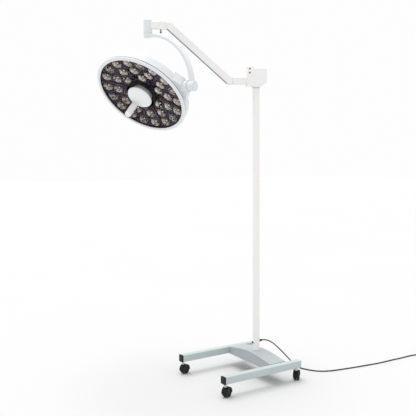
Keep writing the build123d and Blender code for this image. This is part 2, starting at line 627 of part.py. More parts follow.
def yoke_arm():
    """A curved bar, a quarter of an ellipse, with a round root and a round paddle."""
    half = YOKE_THICK / 2
    outer = quarter(YOKE_REACH + half, YOKE_DROP + half)
    inner = quarter(YOKE_REACH - half, YOKE_DROP - half)
    foot = Line((YOKE_REACH - half, 0, TILT_Z), (YOKE_REACH + half, 0, TILT_Z))
    top = Line((0, 0, TILT_Z + YOKE_DROP + half), (0, 0, TILT_Z + YOKE_DROP - half))
    bow = extrude(make_face([foot, outer, top, inner]), amount=YOKE_HALF_W, both=True, dir=(0, 1, 0))
    edges = bow.edges().filter_by(lambda e: e.length > YOKE_DROP and abs(abs(e.center().Y) - YOKE_HALF_W) < 1)
    bow = fillet(edges, 4)
    root = rod((0, 0, YOKE_MID - half - 2), (0, 0, YOKE_TOP), HOUSING_R - 0.5)
    root = fillet(root.edges().filter_by(GeomType.CIRCLE).sort_by(Axis.Z)[0], 7)
    near, far = YOKE_REACH - PADDLE_THICK / 2, YOKE_REACH + PADDLE_THICK / 2
    paddle = rod((near, 0, TILT_Z), (far, 0, TILT_Z), PADDLE_R)
    paddle = fillet(paddle.edges().filter_by(GeomType.CIRCLE), 2)
    body = bow + root + paddle
    body -= rod((0, 0, YOKE_TOP - 18), (0, 0, YOKE_TOP), YOKE_SPINDLE_R)
    body -= rod((far - 3, 0, TILT_Z), (far, 0, TILT_Z), PADDLE_R - 5)
    return body - rod((near, 0, TILT_Z), (far - 8, 0, TILT_Z), TILT_SHAFT_R)


def yoke_end_cap():
    far = YOKE_REACH + PADDLE_THICK / 2
    cap = rod((far - 3, 0, TILT_Z), (far + 1.5, 0, TILT_Z), PADDLE_R - 5)
    return fillet(cap.edges().filter_by(GeomType.CIRCLE).sort_by(Axis.X)[-1], 1.2)


def tilt_shaft():
    far = YOKE_REACH + PADDLE_THICK / 2
    inner = SHELL_R - 12 - HEAD_OFFSET
    shaft = rod((inner, 0, TILT_Z), (far - 8, 0, TILT_Z), TILT_SHAFT_R)
    return shaft + rod((inner, 0, TILT_Z), (inner + 4, 0, TILT_Z), TILT_SHAFT_R + 2)


# ---- Head, in its own coordinates -----------------------------------------------------------------
def shell_profile(inset):
    """Points of the shell's outline from the rim to the back, inset by a wall."""
    side = SHELL_R - inset
    back = SHELL_BACK + inset
    return [
        (0, SHELL_FRONT),
        (side, SHELL_FRONT),
        (side, SHELL_SIDE_BACK),
        (side - 12, SHELL_SIDE_BACK - 16),
        (side - 60, back + 3),
        (side - 110, back),
        (0, back),
    ]


def shell_solid(inset):
    body = lathe(*shell_profile(inset))
    bends = body.edges().filter_by(GeomType.CIRCLE).filter_by(lambda e: SHELL_BACK + 6 < e.center().Z < SHELL_FRONT - 6)
    return fillet(bends, 14 - inset)


def tilt_axis_rod(start, end, radius):
    return rod((start, 0, 0), (end, 0, 0), radius)


def head_shell():
    body = shell_solid(0) - shell_solid(SHELL_WALL)
    return body - tilt_axis_rod(SHELL_R - 30, SHELL_R + 10, BOSS_R - 12)


def pivot_housing():
    """The raised shoulder on the shell's side and the round boss that turns on the yoke."""
    top, foot = SHELL_R + 20, SHELL_R - 50
    outline = [(foot, -88), (SHELL_R - 16, -84), (top, -36), (top, 36), (SHELL_R - 16, 84), (foot, 88)]
    face = make_face(Polyline(*[(x, y, -27) for x, y in outline], close=True))
    shoulder = extrude(face, amount=54, dir=(0, 0, 1))
    shoulder = fillet(shoulder.edges().filter_by(Axis.Z).filter_by(lambda e: e.center().X > SHELL_R), 14)
    boss = tilt_axis_rod(SHELL_R - 20, BOSS_FACE, BOSS_R)
    boss = fillet(boss.edges().filter_by(GeomType.CIRCLE).sort_by(Axis.X)[-1], 1.5)
    body = shoulder + boss - shell_solid(0)
    body = sorted(body.solids(), key=lambda s: s.volume)[-1]
    body -= tilt_axis_rod(SHELL_R - 20, BOSS_FACE, TILT_SHAFT_R + 1)
    for start in (BOSS_FACE - 14, SHELL_R + 2):
        body -= tilt_axis_rod(start, start + 14, TILT_SHAFT_R + 3.5)
    return body


def tilt_bushes():
    bore = TILT_SHAFT_R + RUNNING_FIT
    return [
        tilt_axis_rod(start, start + 14, TILT_SHAFT_R + 3.5) - tilt_axis_rod(start, start + 14, bore)
        for start in (BOSS_FACE - 14, SHELL_R + 2)
    ]


def front_bezel():
    """The pale ring round the light face, with a rabbet for the clear cover."""
    outer = SHELL_R + 1.5
    ring = lathe(
        (BEZEL_INNER_R, FACE_Z - 1),
        (BEZEL_INNER_R + 2.5, FACE_Z + 2),
        (outer - 7, FACE_Z + 2),
        (outer - 1.5, FACE_Z - 1),
        (outer, FACE_Z - 6),
        (outer, SHELL_FRONT + 2.5),
        (COVER_R, SHELL_FRONT + 2.5),
        (COVER_R, FACE_Z - 1),
    )
    return ring


def bezel_seal():
    return lathe(
        (SHELL_R - 16, SHELL_FRONT),
        (SHELL_R - 1, SHELL_FRONT),
        (SHELL_R - 1, SHELL_FRONT + 2.5),
        (SHELL_R - 13.9, SHELL_FRONT + 2.5),
        (SHELL_R - 16, SHELL_FRONT + 2.5),
    )


def front_cover():
    """The clear disc over the reflectors."""
    high = FACE_Z - 1
    inner = RECESS_R
    return lathe((inner, high - COVER_THICK), (COVER_R, high - COVER_THICK), (COVER_R, high), (inner, high))


def dish(depth, inner, outer, thick):
    """A dished ring with its concave side forward."""
    centre = Pos(0, 0, FACE_Z - depth + DISH_R)
    cup = (centre * Sphere(DISH_R + thick)) - (centre * Sphere(DISH_R))
    low = FACE_Z - depth - thick
    return cup & (rod((0, 0, low), (0, 0, FACE_Z), outer) - rod((0, 0, low), (0, 0, FACE_Z), inner))


def lens_places():
    """Each reflector's place on the dish, its axis square to it."""
    places = []
    for sector in range(SECTORS):
        for radius, offsets in LENS_ROWS:
            for offset in offsets:
                turn = sector * 360 / SECTORS + offset
                tilt = asin(radius / DISH_R) * 180 / pi
                drop = DISH_R - sqrt(DISH_R**2 - radius**2)
                z = FACE_Z - DISH_DEPTH + drop
                places.append(Rot(0, 0, turn) * Pos(radius, 0, z) * Rot(0, -tilt, 0))
    return places


def lens_carrier():
    """The dark moulded dish with a hole for each reflector and a raised rib between sectors."""
    inner, outer = RECESS_R + 1, BEZEL_INNER_R + 3
    body = dish(DISH_DEPTH, inner, outer, CARRIER_THICK)
    ribs = dish(DISH_DEPTH - RIB_HEIGHT, inner, outer, RIB_HEIGHT + CARRIER_THICK)
    bars = [
        Rot(0, 0, (k + 0.5) * 360 / SECTORS) * block((inner - 5, outer + 5), (-RIB_WIDTH / 2, RIB_WIDTH / 2), (-40, 60))
        for k in range(SECTORS)
    ]
    for bar in bars:
        body += ribs & bar
    hole = Solid.make_cylinder(REFLECTOR_R, 30, Plane((0, 0, -15)))
    for place in lens_places():
        body -= place * hole
    return body


def reflector():
    """A turned cup with a flange on the carrier, seen along its own axis."""
    r, flange = REFLECTOR_R, REFLECTOR_FLANGE
    return lathe(
        (r + flange, 0.4), (r + flange, 1.9), (r - 1.2, 1.9), (r - 4, -6), (12, -18), (6, -20), (6, -21.4),
        (8, -21.4), (14, -18), (r - 2.2, -6), (r - 0.4, 0.4),
    )


def led_chip():
    return Pos(0, 0, -20.5) * Box(6, 6, 2)


def led_board():
    """The dished circuit board and heat spreader behind the reflectors."""
    return dish(DISH_DEPTH + BOARD_DEPTH, 40, BOARD_R, 3)


def recess_ring():
    """The black cup round the dome's foot."""
    high = FACE_Z - 1
    r = RECESS_R
    return lathe(
        (30, RECESS_FLOOR - RECESS_WALL), (r, RECESS_FLOOR - RECESS_WALL), (r, high),
        (r - RECESS_WALL, high), (r - RECESS_WALL, RECESS_FLOOR), (30, RECESS_FLOOR),
    )


def centre_dome():
    """The mushroom-shaped centre that flares into the handle."""
    foot = DOME_R - 16
    body = lathe(
        (0, RECESS_FLOOR), (foot, RECESS_FLOOR), (foot, FACE_Z - 1), (DOME_R - 4, FACE_Z + 3), (DOME_R, FACE_Z + 8),
        (DOME_R - 4, FACE_Z + 15), (DOME_R - 14, FACE_Z + 23), (DOME_R - 30, FACE_Z + 33),
        (HANDLE_R + 10, FACE_Z + 43), (HANDLE_R + 3, HANDLE_ROOT - 2), (HANDLE_R + 2, HANDLE_ROOT), (0, HANDLE_ROOT),
    )
    wall = DOME_WALL
    hollow = lathe(
        (0, RECESS_FLOOR), (foot - wall, RECESS_FLOOR), (foot - wall, FACE_Z + 3), (DOME_R - wall - 2, FACE_Z + 8),
        (DOME_R - 14 - wall, FACE_Z + 20), (DOME_R - 34 - wall, FACE_Z + 30), (0, FACE_Z + 32),
    )
    return body - hollow - rod((0, 0, HANDLE_ROOT - 20), (0, 0, HANDLE_ROOT), HANDLE_BORE_R - RUNNING_FIT)


def handle_spigot():
    return rod((0, 0, HANDLE_ROOT - 20), (0, 0, HANDLE_ROOT + SPIGOT_REACH), HANDLE_BORE_R - RUNNING_FIT)


def handle():
    """The straight grip that pulls off its spigot for sterilising."""
    body = rod((0, 0, HANDLE_ROOT + FREE_GAP), (0, 0, HANDLE_TIP), HANDLE_R)
    body = fillet(body.edges().filter_by(GeomType.CIRCLE).sort_by(Axis.Z)[-1], 5)
    return body - rod((0, 0, HANDLE_ROOT), (0, 0, HANDLE_ROOT + SPIGOT_REACH + 2), HANDLE_BORE_R)


# ---- Mains cord ---------------------------------------------------------------------------------
# From the gland in a low arch to the floor, round behind the leg and away to the rear, then into a
# tied coil with the plug beside it.
FLOOR_LINE = CORD_R + 0.1
CORD_ROUTE = [
    (GLAND_END, 0, CORD_Z), (68, -2, CORD_Z - 0.5), (106, -19, 161), (149, -37, 116), (194, -51, 66), (229, -62, 26),
    (256, -75, 6), (272, -103, FLOOR_LINE), (286, -141, FLOOR_LINE), (318, -180, FLOOR_LINE),
    (371, -208, FLOOR_LINE), (443, -222, FLOOR_LINE), (527, -237, FLOOR_LINE), (618, -249, FLOOR_LINE),
    (713, -262, FLOOR_LINE), (806, -262, FLOOR_LINE), (901, -268, FLOOR_LINE), (992, -266, FLOOR_LINE),
    (1070, -282, FLOOR_LINE), (1128, -306, FLOOR_LINE),
]
COIL_CENTRE = (1147.5, -258.0)
COIL_MEAN_R = 42.0
COIL_HALF = 14.0         # half the width of the coiled turns
COIL_HEIGHT = 14.4
PLUG_X = 30.0            # plug's tail from the coil's middle


def cord_tube():
    """The uncoiled stretch: straight runs joined by arcs as large as the runs allow."""
    points = [Vector(*p) for p in CORD_ROUTE]
    radii = []
    for before, at, after in zip(points, points[1:], points[2:]):
        turn = radians((at - before).get_angle(after - at))
        shorter = min((at - before).length, (after - at).length)
        radii.append(0.45 * shorter / tan(turn / 2))
    print("cord bend radii", [round(r) for r in radii])
    path = FilletPolyline(*CORD_ROUTE, radius=radii)
    section = Plane(origin=path @ 0, z_dir=path % 0) * Circle(CORD_R)
    body = sweep(section, path=path)
    print("cord tube length", round(path.length), "volume ratio", round(body.volume / (pi * CORD_R**2 * path.length), 4))
    return body


def cord_coil():
    x, y = COIL_CENTRE
    return tube((x, y, 0.1), (x, y, COIL_HEIGHT), COIL_MEAN_R + COIL_HALF, COIL_MEAN_R - COIL_HALF)


def mains_plug():
    """A moulded three-pin plug beside the coil, its tail towards the last turn."""
    x = COIL_CENTRE[0] + PLUG_X
    y = COIL_CENTRE[1] - COIL_MEAN_R - COIL_HALF + CORD_R
    tail = Pos(x + 9, y, 14) * Rot(0, 90, 0) * Cone(CORD_R + 1.2, CORD_R + 4, 18)
    body = Pos(x + 35, y, 16) * Box(36, 34, 31.8)
    body = fillet(body.edges().filter_by(Axis.X), 8)
    body = fillet(body.faces().sort_by(Axis.X)[0].edges(), 4)
    face = x + 53
    plug = tail + body
    for side in (-1, 1):
        plug += block((face - 2, face + 16), (y + side * 6.3 - 0.8, y + side * 6.3 + 0.8), (15, 21.5))
    return plug + rod((face - 2, y, 8), (face + 20, y, 8), 2.4)


# ---- All the nodes ------------------------------------------------------------------------------
def build():
    nodes = {
        "left_leg": leg(-1),
        "right_leg": leg(1),
        "leg_front_caps": [leg_cap(side, LEG_FRONT, 1.5) for side in (-1, 1)],
        "leg_rear_caps": [leg_cap(side, LEG_REAR, 6.0) for side in (-1, 1)],
        "caster_sockets": [caster_socket(x, y) for x, y, heading in CASTERS.values()],
        "hub_cover": hub_cover(),
        "cross_beam": cross_beam(),
        "counterweights": counterweights(),
        "column_socket": column_socket(),
        "socket_bolts": [socket_bolt(x, y) for x, y in bolt_places()],
        "column_tube": column_tube(),
        "switch_bezel": switch_bezel(),
        "power_button": power_button(),
        "cable_gland": cable_gland(),
        "power_supply": power_supply(),
        "swivel_shaft": swivel_shaft(),
        "power_cord": cord_tube(),
        "cord_coil": cord_coil(),
        "mains_plug": mains_plug(),
    }
    placed = [
        (ARM_PLACE, {
            "column_head": column_head(),
            "column_bushes": column_bushes(),
            "arm_root": arm_root(),
            "hub_screws": [hub_screw(x, z) for x, z in hub_screw_places()],
            "knuckle_block": knuckle(),
            "knuckle_collar": collar(),
            "bearing_housing": bearing_housing(),
            "yoke_bearings": yoke_bearings(),
            "lock_screw": lock_screw(),
        }),
        (SPRING_PLACE, {
            "arm_beam": arm_beam(),
            "arm_upper_cover": arm_upper_cover(),
            "arm_lower_cover": arm_lower_cover(),
            "arm_spring": arm_spring(),
            "arm_pins": arm_pins(),
            "parallel_rod": parallel_rod(),
        }),
        (YOKE_PLACE, {
            "yoke_spindle": yoke_spindle(),
            "yoke_arm": yoke_arm(),
            "yoke_end_cap": yoke_end_cap(),
            "tilt_shaft": tilt_shaft(),
        }),
        (HEAD_PLACE, {
            "head_shell": head_shell(),
            "pivot_housing": pivot_housing(),
            "tilt_bushes": tilt_bushes(),
            "front_bezel": front_bezel(),
            "bezel_seal": bezel_seal(),
            "front_cover": front_cover(),
            "lens_carrier": lens_carrier(),
            "reflectors": [place * reflector() for place in lens_places()],
            "led_chips": [place * led_chip() for place in lens_places()],
            "led_board": led_board(),
            "recess_ring": recess_ring(),
            "centre_dome": centre_dome(),
            "handle_spigot": handle_spigot(),
            "handle": handle(),
        }),
    ]
    for name in CASTERS:
        caster = {f"caster_fork_{name}": caster_fork(), f"caster_wheels_{name}": caster_wheels()}
        placed.append((caster_place(name), caster))
    for place, group in placed:
        for name, shape in group.items():
            solids = shape if isinstance(shape, list) else shape.solids()
            nodes[name] = [solid for piece in solids for solid in (place * piece).solids()]
    return nodes


if __name__ == "__main__":
    os.makedirs("parts", exist_ok=True)
    for name, shape in build().items():
        write(name, shape)
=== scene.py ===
"""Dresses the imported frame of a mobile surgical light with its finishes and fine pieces."""

import json
import math

import bmesh
import bpy
from mathutils import Matrix, Vector


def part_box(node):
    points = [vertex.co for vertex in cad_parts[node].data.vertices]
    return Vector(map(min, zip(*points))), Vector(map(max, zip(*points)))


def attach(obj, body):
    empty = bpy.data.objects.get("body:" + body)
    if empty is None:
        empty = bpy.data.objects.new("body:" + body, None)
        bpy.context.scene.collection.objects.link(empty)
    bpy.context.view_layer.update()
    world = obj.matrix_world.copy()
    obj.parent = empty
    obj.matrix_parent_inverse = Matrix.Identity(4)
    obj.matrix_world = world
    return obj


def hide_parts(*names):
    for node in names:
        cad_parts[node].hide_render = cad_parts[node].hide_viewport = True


bl_info = {
    "name": "Surgical Light Dressing",
    "version": (1, 0, 0),
    "blender": (4, 5, 0),
    "location": "3D View > Sidebar > Surgical Light",
    "description": "Adds reflectors, casters, cord and finishes to the frame of a surgical light",
    "category": "Object",
}

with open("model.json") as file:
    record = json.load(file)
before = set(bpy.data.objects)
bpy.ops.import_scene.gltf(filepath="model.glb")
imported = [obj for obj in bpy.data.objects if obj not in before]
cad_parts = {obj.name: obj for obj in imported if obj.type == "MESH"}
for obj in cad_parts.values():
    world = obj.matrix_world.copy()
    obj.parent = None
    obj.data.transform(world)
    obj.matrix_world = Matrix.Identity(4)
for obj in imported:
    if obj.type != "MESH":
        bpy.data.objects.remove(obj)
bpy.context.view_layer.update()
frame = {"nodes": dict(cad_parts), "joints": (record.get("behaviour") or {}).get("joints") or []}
JOINTS = {joint["name"]: joint for joint in frame["joints"]}

MM = 0.001
POLE = 1e-5  # stands in for a radius of nothing, so that a circle can be resized from it
SAME_RADIUS = 1e-9
WELD = 0.03 * MM
UP = Vector((0, 0, 1))


# ---- Places, taken from the joints of the frame ---------------------------------------------------
def axes(origin, along_x, along_z):
    """A placement whose Z is along_z and whose X leans towards along_x."""
    z = Vector(along_z).normalized()
    x = Vector(along_x)
    x = (x - z * x.dot(z)).normalized()
    turn = Matrix((x, z.cross(x), z)).transposed().to_4x4()
    return Matrix.Translation(origin) @ turn


def joint_place(name):
    return Vector(JOINTS[name]["pos_m"])


def joint_axis(name):
    return Vector(JOINTS[name]["axis"])


HEAD_OFFSET = 24 * MM  # from the yoke's spindle to the middle of the head, along the tilt axis
TILT_AXIS = joint_axis("head_tilt")
YOKE_ORIGIN = joint_place("yoke_swivel")
TILT_HEIGHT = joint_place("head_tilt").z
HEAD_ORIGIN = Vector((YOKE_ORIGIN.x, YOKE_ORIGIN.y, TILT_HEIGHT)) - TILT_AXIS * HEAD_OFFSET
HEAD = axes(HEAD_ORIGIN, TILT_AXIS, joint_axis("handle_pull"))
CASTERS = ("front_left", "front_right", "rear_left", "rear_right")


# ---- Settings that a user would change --------------------------------------------------------------
def colour(label, value, text):
    return bpy.props.FloatVectorProperty(
        name=label, description=text, default=value, subtype="COLOR", size=3, min=0, max=1
    )


def length(label, value, text):
    return bpy.props.FloatProperty(
        name=label, description=text, default=value, unit="LENGTH", subtype="DISTANCE", min=0
    )


class LightColours(bpy.types.PropertyGroup):
    leg: colour("Legs", (0.45, 0.52, 0.52), "Powder coat of the two legs")
    hub: colour("Hub cover", (0.38, 0.42, 0.44), "Moulded cover between the legs")
    column: colour("Column", (0.83, 0.82, 0.81), "Powder coat of the column")
    arm: colour("Arm", (0.82, 0.81, 0.80), "Paint of the arm, hub and yoke")
    strip: colour("Arm strip", (0.10, 0.15, 0.18), "Strip that closes the arm's underside")
    # Painted shade: the shell and bezel are a darker, bluer grey than the white arm paint, standing in for the shade
    # on the head's lower side.
    shell: colour("Head shell", (0.69, 0.72, 0.745), "Back of the head")
    bezel: colour("Bezel", (0.74, 0.765, 0.78), "Ring round the light face")
    panel: colour("Lens panel", (0.016, 0.010, 0.019), "Dish that holds the reflectors")
    mirror: colour("Reflectors", (0.90, 0.83, 0.75), "Aluminised inside of each reflector")
    dome: colour("Dome and handle", (0.84, 0.85, 0.86), "Centre dome and sterile handle")
    black: colour("Black plastic", (0.007, 0.008, 0.009), "Casters, caps and recess")
    cord: colour("Cord", (0.030, 0.032, 0.034), "Jacket of the mains cord")
    floor: colour("Floor", (0.618, 0.618, 0.618), "Studio floor")


class LightSizes(bpy.types.PropertyGroup):
    reflector: length("Reflector radius", 26 * MM, "Inside radius of a reflector's mouth")
    web: length("Web width", 3.2 * MM, "Width of the webs between reflectors")
    cord: length("Cord diameter", 7 * MM, "Diameter of the mains cord")
    coil: length("Coil radius", 52 * MM, "Radius of the coil's outer turn")
    handle: length("Handle radius", 17.5 * MM, "Radius of the sterile handle")


class LightStudio(bpy.types.PropertyGroup):
    lens: bpy.props.FloatProperty(name="Lens", description="Focal length in millimetres", default=54.9, unit="CAMERA")
    sky: bpy.props.FloatProperty(name="Sky", description="Strength of the white surround", default=0.62, min=0)
    overhead: bpy.props.FloatProperty(
        name="Overhead", description="Strength of the broad overhead light", default=1.2, min=0
    )
    fill: bpy.props.FloatProperty(
        name="Fill light", description="Power of the soft box in front", default=1.5, min=0, unit="POWER"
    )
    exposure: bpy.props.FloatProperty(name="Exposure", description="Exposure of the view, in stops", default=0.67)


# ---- Shader nodes as expressions ---------------------------------------------------------------------
class Signal:
    """A node's output. Arithmetic on it adds Math nodes."""

    def __init__(self, tree, socket):
        self.tree, self.socket = tree, socket

    def _maths(self, operation, first, second):
        node = self.tree.nodes.new("ShaderNodeMath")
        node.operation = operation
        for entry, value in zip(node.inputs, (first, second)):
            if isinstance(value, Signal):
                self.tree.links.new(value.socket, entry)
            else:
                entry.default_value = value
        return Signal(self.tree, node.outputs[0])

    def __add__(self, other):
        return self._maths("ADD", self, other)

    def __sub__(self, other):
        return self._maths("SUBTRACT", self, other)

    def __rsub__(self, other):
        return self._maths("SUBTRACT", other, self)

    def __mul__(self, other):
        return self._maths("MULTIPLY", self, other)


class Finish:
    """One material: a principled shader and the nodes that vary it over the surface."""

    def __init__(self, name, base, roughness, **constants):
        self.material = bpy.data.materials.new(name)
        self.material.use_nodes = True
        self.tree = self.material.node_tree
        self.shader = next(n for n in self.tree.nodes if n.type == "BSDF_PRINCIPLED")
        self.base, self.roughness = tuple(base), roughness
        self.set("Base Color", (*self.base, 1))
        self.set("Roughness", roughness)
        for key, value in constants.items():
            self.set(key.replace("_", " "), value)
        self.place = self.node("TexCoord", output="Object")

    def set(self, entry, value):
        socket = self.shader.inputs[entry]
        if isinstance(value, Signal):
            self.tree.links.new(value.socket, socket)
        else:
            socket.default_value = value

    def node(self, kind, settings=None, entries=None, output=0):
        """Adds a node: its settings first, then the values or links of its sockets."""
        node = self.tree.nodes.new("ShaderNode" + kind)
        for key, value in (settings or {}).items():
            if key == "stops":
                ramp = node.color_ramp.elements
                while len(ramp) < len(value):
                    ramp.new(0.5)
                for stop, (at, level) in zip(ramp, value):
                    stop.position, stop.color = at, (level, level, level, 1)
            else:
                setattr(node, key, value)
        for key, value in (entries or {}).items():
            if isinstance(value, Signal):
                self.tree.links.new(value.socket, node.inputs[key])
            else:
                node.inputs[key].default_value = value
        return Signal(self.tree, node.outputs[output])

    def noise(self, scale, detail=3.0, rough=0.5, place=None):
        entries = {"Vector": place or self.place, "Scale": scale, "Detail": detail, "Roughness": rough}
        return self.node("TexNoise", entries=entries)

    def stretched(self, scale, turn=(0, 0, 0)):
        return self.node("Mapping", entries={"Vector": self.place, "Rotation": turn, "Scale": scale})

    def ramp(self, signal, *stops):
        return self.node("ValToRGB", {"stops": stops}, {"Fac": signal})

    def blend(self, factor, first, second):
        entries = {0: factor, 6: (*first, 1), 7: (*second, 1)}
        return self.node("Mix", {"data_type": "RGBA"}, entries, output=2)

    def shade(self, factor, amount, tint=(1, 1, 1)):
        """Varies the colour by a share of itself, darker where factor is low."""
        low = tuple(c * (1 - amount) * t for c, t in zip(self.base, tint))
        high = tuple(min(1.0, c * (1 + amount)) for c in self.base)
        self.set("Base Color", self.blend(factor, low, high))

    def bump(self, height, strength, distance):
        normal = self.node("Bump", entries={"Height": height, "Strength": strength, "Distance": distance})
        self.set("Normal", normal)


def painted(name, base, roughness=0.32, peel=0.10, mottle=0.02):
    """Stove-enamelled metal: orange peel, faint mottling and a few dull scuffs."""
    finish = Finish(name, base, roughness, IOR=1.5, Coat_Weight=0.15, Coat_Roughness=0.12)
    finish.shade(finish.noise(7, 4), mottle, (1, 1, 0.985))
    scuffs = finish.ramp(finish.noise(38, 8, 0.72), (0.60, 0), (0.76, 1))
    finish.set("Roughness", finish.noise(120, 3) * 0.05 + scuffs * 0.14 + (roughness - 0.03))
    finish.bump(finish.noise(620, 2) + finish.noise(2600, 1) * 0.25, peel, 0.25 * MM)
    return finish.material


def moulded(name, base, roughness=0.40, grain=0.18, mottle=0.025, grain_scale=1500, gloss=0.5):
    """Injection-moulded plastic: fine spark-eroded grain and slow changes of gloss."""
    finish = Finish(name, base, roughness, IOR=1.46, Specular_IOR_Level=gloss)
    finish.shade(finish.noise(11, 3), mottle, (1, 1, 1.0))
    cells = finish.node(
        "TexVoronoi", {"feature": "SMOOTH_F1"}, {"Vector": finish.place, "Scale": grain_scale, "Smoothness": 0.6}
    )
    handled = finish.ramp(finish.noise(24, 6, 0.65), (0.50, 0), (0.70, 1))
    finish.set("Roughness", handled * 0.10 + finish.noise(300, 2) * 0.06 + (roughness - 0.05))
    finish.bump(cells + finish.noise(grain_scale * 0.4, 2) * 0.4, grain, 0.12 * MM)
    return finish.material


def rubbery(name, base, roughness=0.68, dust=0.10):
    """Matt elastomer with a bloom of pale dust."""
    finish = Finish(name, base, roughness, IOR=1.5, Specular_IOR_Level=0.3)
    film = finish.ramp(finish.noise(42, 7, 0.7), (0.45, 0), (0.80, 1))
    dusty = tuple(c + dust * (0.5 - c) for c in base)
    finish.set("Base Color", finish.blend(film, base, dusty))
    finish.set("Roughness", film * 0.12 + (roughness - 0.02))
    finish.bump(finish.noise(900, 4, 0.6), 0.22, 0.15 * MM)
    return finish.material


def brushed(name, base, roughness=0.28, along=(60, 60, 2200), tarnish=0.12):
    """Turned or brushed metal with fine lines across one direction and light tarnish."""
    finish = Finish(name, base, roughness, Metallic=1.0)
    lines = finish.noise(1.0, 4, 0.6, finish.stretched(along))
    stain = finish.noise(26, 5, 0.6)
    finish.shade(lines * 0.6 + stain * 0.4, tarnish, (1, 0.99, 0.97))
    finish.set("Roughness", lines * 0.16 + stain * 0.10 + (roughness - 0.10))
    finish.bump(lines, 0.08, 0.05 * MM)
    return finish.material


def cast(name, base):
    """Sand-cast iron with a coarse skin."""
    finish = Finish(name, base, 0.62, Metallic=0.65)
    finish.shade(finish.noise(60, 6, 0.7), 0.30, (1, 0.94, 0.86))
    finish.bump(finish.noise(420, 5, 0.65), 0.5, 0.4 * MM)
    return finish.material


def mirrored(name, base):
    """Vapour-deposited aluminium with faint haze and ripple, and painted reflections: the base colour darkens facet
    by facet as the cup's attribute of painted reflections says.
    """
    finish = Finish(name, base, 0.08, Metallic=1.0)
    haze = finish.noise(90, 4, 0.6)
    facet = finish.node("Attribute", {"attribute_name": "facet"}, output="Fac")
    # Painted reflection: the attribute's dark and bright facets are painted into the base colour.
    finish.set("Base Color", finish.blend(facet * (haze * 0.2 + 0.9), tuple(c * c * 0.12 for c in base), base))
    finish.set("Roughness", haze * 0.10 + 0.03)
    finish.bump(finish.noise(160, 2), 0.10, 0.2 * MM)
    return finish.material


def clear(name):
    """Polished clear cover: mostly see-through, with its gloss and a trace of dust."""
    finish = Finish(name, (0.25, 0.24, 0.29), 0.05, IOR=1.49, Specular_IOR_Level=0.5)
    dust = finish.ramp(finish.noise(140, 6, 0.7), (0.55, 0), (0.85, 1))
    finish.set("Alpha", dust * 0.015 + 0.018)
    finish.set("Roughness", dust * 0.10 + 0.04)
    finish.material.surface_render_method = "BLENDED"
    return finish.material


def phosphor(name):
    """Yellow phosphor under a silicone lens, its colour faintly mottled."""
    finish = Finish(name, (0.92, 0.87, 0.70), 0.16, IOR=1.42, Coat_Weight=0.6, Coat_Roughness=0.05)
    finish.shade(finish.noise(900, 2), 0.10, (1, 0.97, 0.85))
    finish.set("Roughness", finish.noise(300, 2) * 0.08 + 0.12)
    return finish.material


def circuit(name):
    """White solder mask over a faint copper layout."""
    finish = Finish(name, (0.70, 0.72, 0.70), 0.38, IOR=1.5)
    tracks = finish.node(
        "TexBrick", {"offset": 0.35},
        {"Vector": finish.place, "Scale": 46, "Mortar Size": 0.03, "Brick Width": 0.9}, output="Fac",
    )
    finish.shade(1 - tracks, 0.10, (0.96, 1, 0.96))
    finish.set("Roughness", tracks * 0.12 + 0.32)
    finish.bump(1 - tracks, 0.25, 0.1 * MM)
    return finish.material


def corded(name, base):
    """Extruded jacket: a faint lighter film, a fine bump and a soft gloss."""
    finish = Finish(name, base, 0.46, IOR=1.48)
    film = finish.ramp(finish.noise(30, 6, 0.66), (0.48, 0), (0.82, 1))
    finish.set("Base Color", finish.blend(film, base, tuple(c * 1.9 for c in base)))
    finish.set("Roughness", film * 0.14 + finish.noise(500, 2) * 0.08 + 0.38)
    finish.bump(finish.noise(700, 3, 0.6), 0.14, 0.1 * MM)
    return finish.material


def panelled(name, base):
    """Glossy tinted moulding of the lens panel, lighter where it catches dust."""
    finish = Finish(name, base, 0.24, IOR=1.5, Specular_IOR_Level=0.12)
    film = finish.noise(18, 5, 0.6)
    finish.set("Base Color", finish.blend(film, base, tuple(c * 1.7 for c in base)))
    finish.set("Roughness", film * 0.16 + 0.16)
    finish.bump(finish.noise(1100, 2), 0.10, 0.12 * MM)
    return finish.material


FINISHES = {}


def make_finishes(c):
    """Every finish under the name of its material slot in the record."""
    FINISHES.update(
        leg_paint=painted("leg_paint", c.leg, 0.36, 0.16, 0.03),
        column_paint=painted("column_paint", c.column, 0.30, 0.12),
        hub_plastic=moulded("hub_plastic", c.hub, 0.36, 0.16),
        arm_paint=painted("arm_paint", c.arm, 0.28),
        arm_plastic=moulded("arm_plastic", c.arm, 0.34, 0.10),
        grey_plastic=moulded("grey_plastic", c.strip, 0.44, 0.22),
        black_plastic=moulded("black_plastic", c.black, 0.42, 0.30, 0.15, 900, 0.22),
        black_rubber=rubbery("black_rubber", tuple(v * 1.4 for v in c.black), 0.62, 0.04),
        tread=rubbery("tread", tuple(v * 1.8 for v in c.black), 0.60, 0.12),
        steel=brushed("steel", (0.62, 0.63, 0.65)),
        dark_steel=brushed("dark_steel", (0.12, 0.13, 0.14), 0.42),
        cast_iron=cast("cast_iron", (0.16, 0.16, 0.17)),
        bronze=brushed("bronze", (0.62, 0.47, 0.25), 0.34),
        potting=rubbery("potting", (0.10, 0.11, 0.12), 0.5, 0.05),
        shell_paint=painted("shell_paint", c.shell, 0.26, 0.07),
        bezel_plastic=moulded("bezel_plastic", c.bezel, 0.28, 0.06),
        clear_cover=clear("clear_cover"),
        carrier_plastic=panelled("carrier_plastic", c.panel),
        mirror_metal=mirrored("mirror_metal", c.mirror),
        phosphor=phosphor("phosphor"),
        board=circuit("board"),
        dome_plastic=moulded("dome_plastic", c.dome, 0.30, 0.05),
        handle_plastic=moulded("handle_plastic", c.dome, 0.34, 0.12),
        cord_jacket=corded("cord_jacket", c.cord),
        web_plastic=panelled("web_plastic", tuple(v * 3.0 for v in c.panel)),
    )


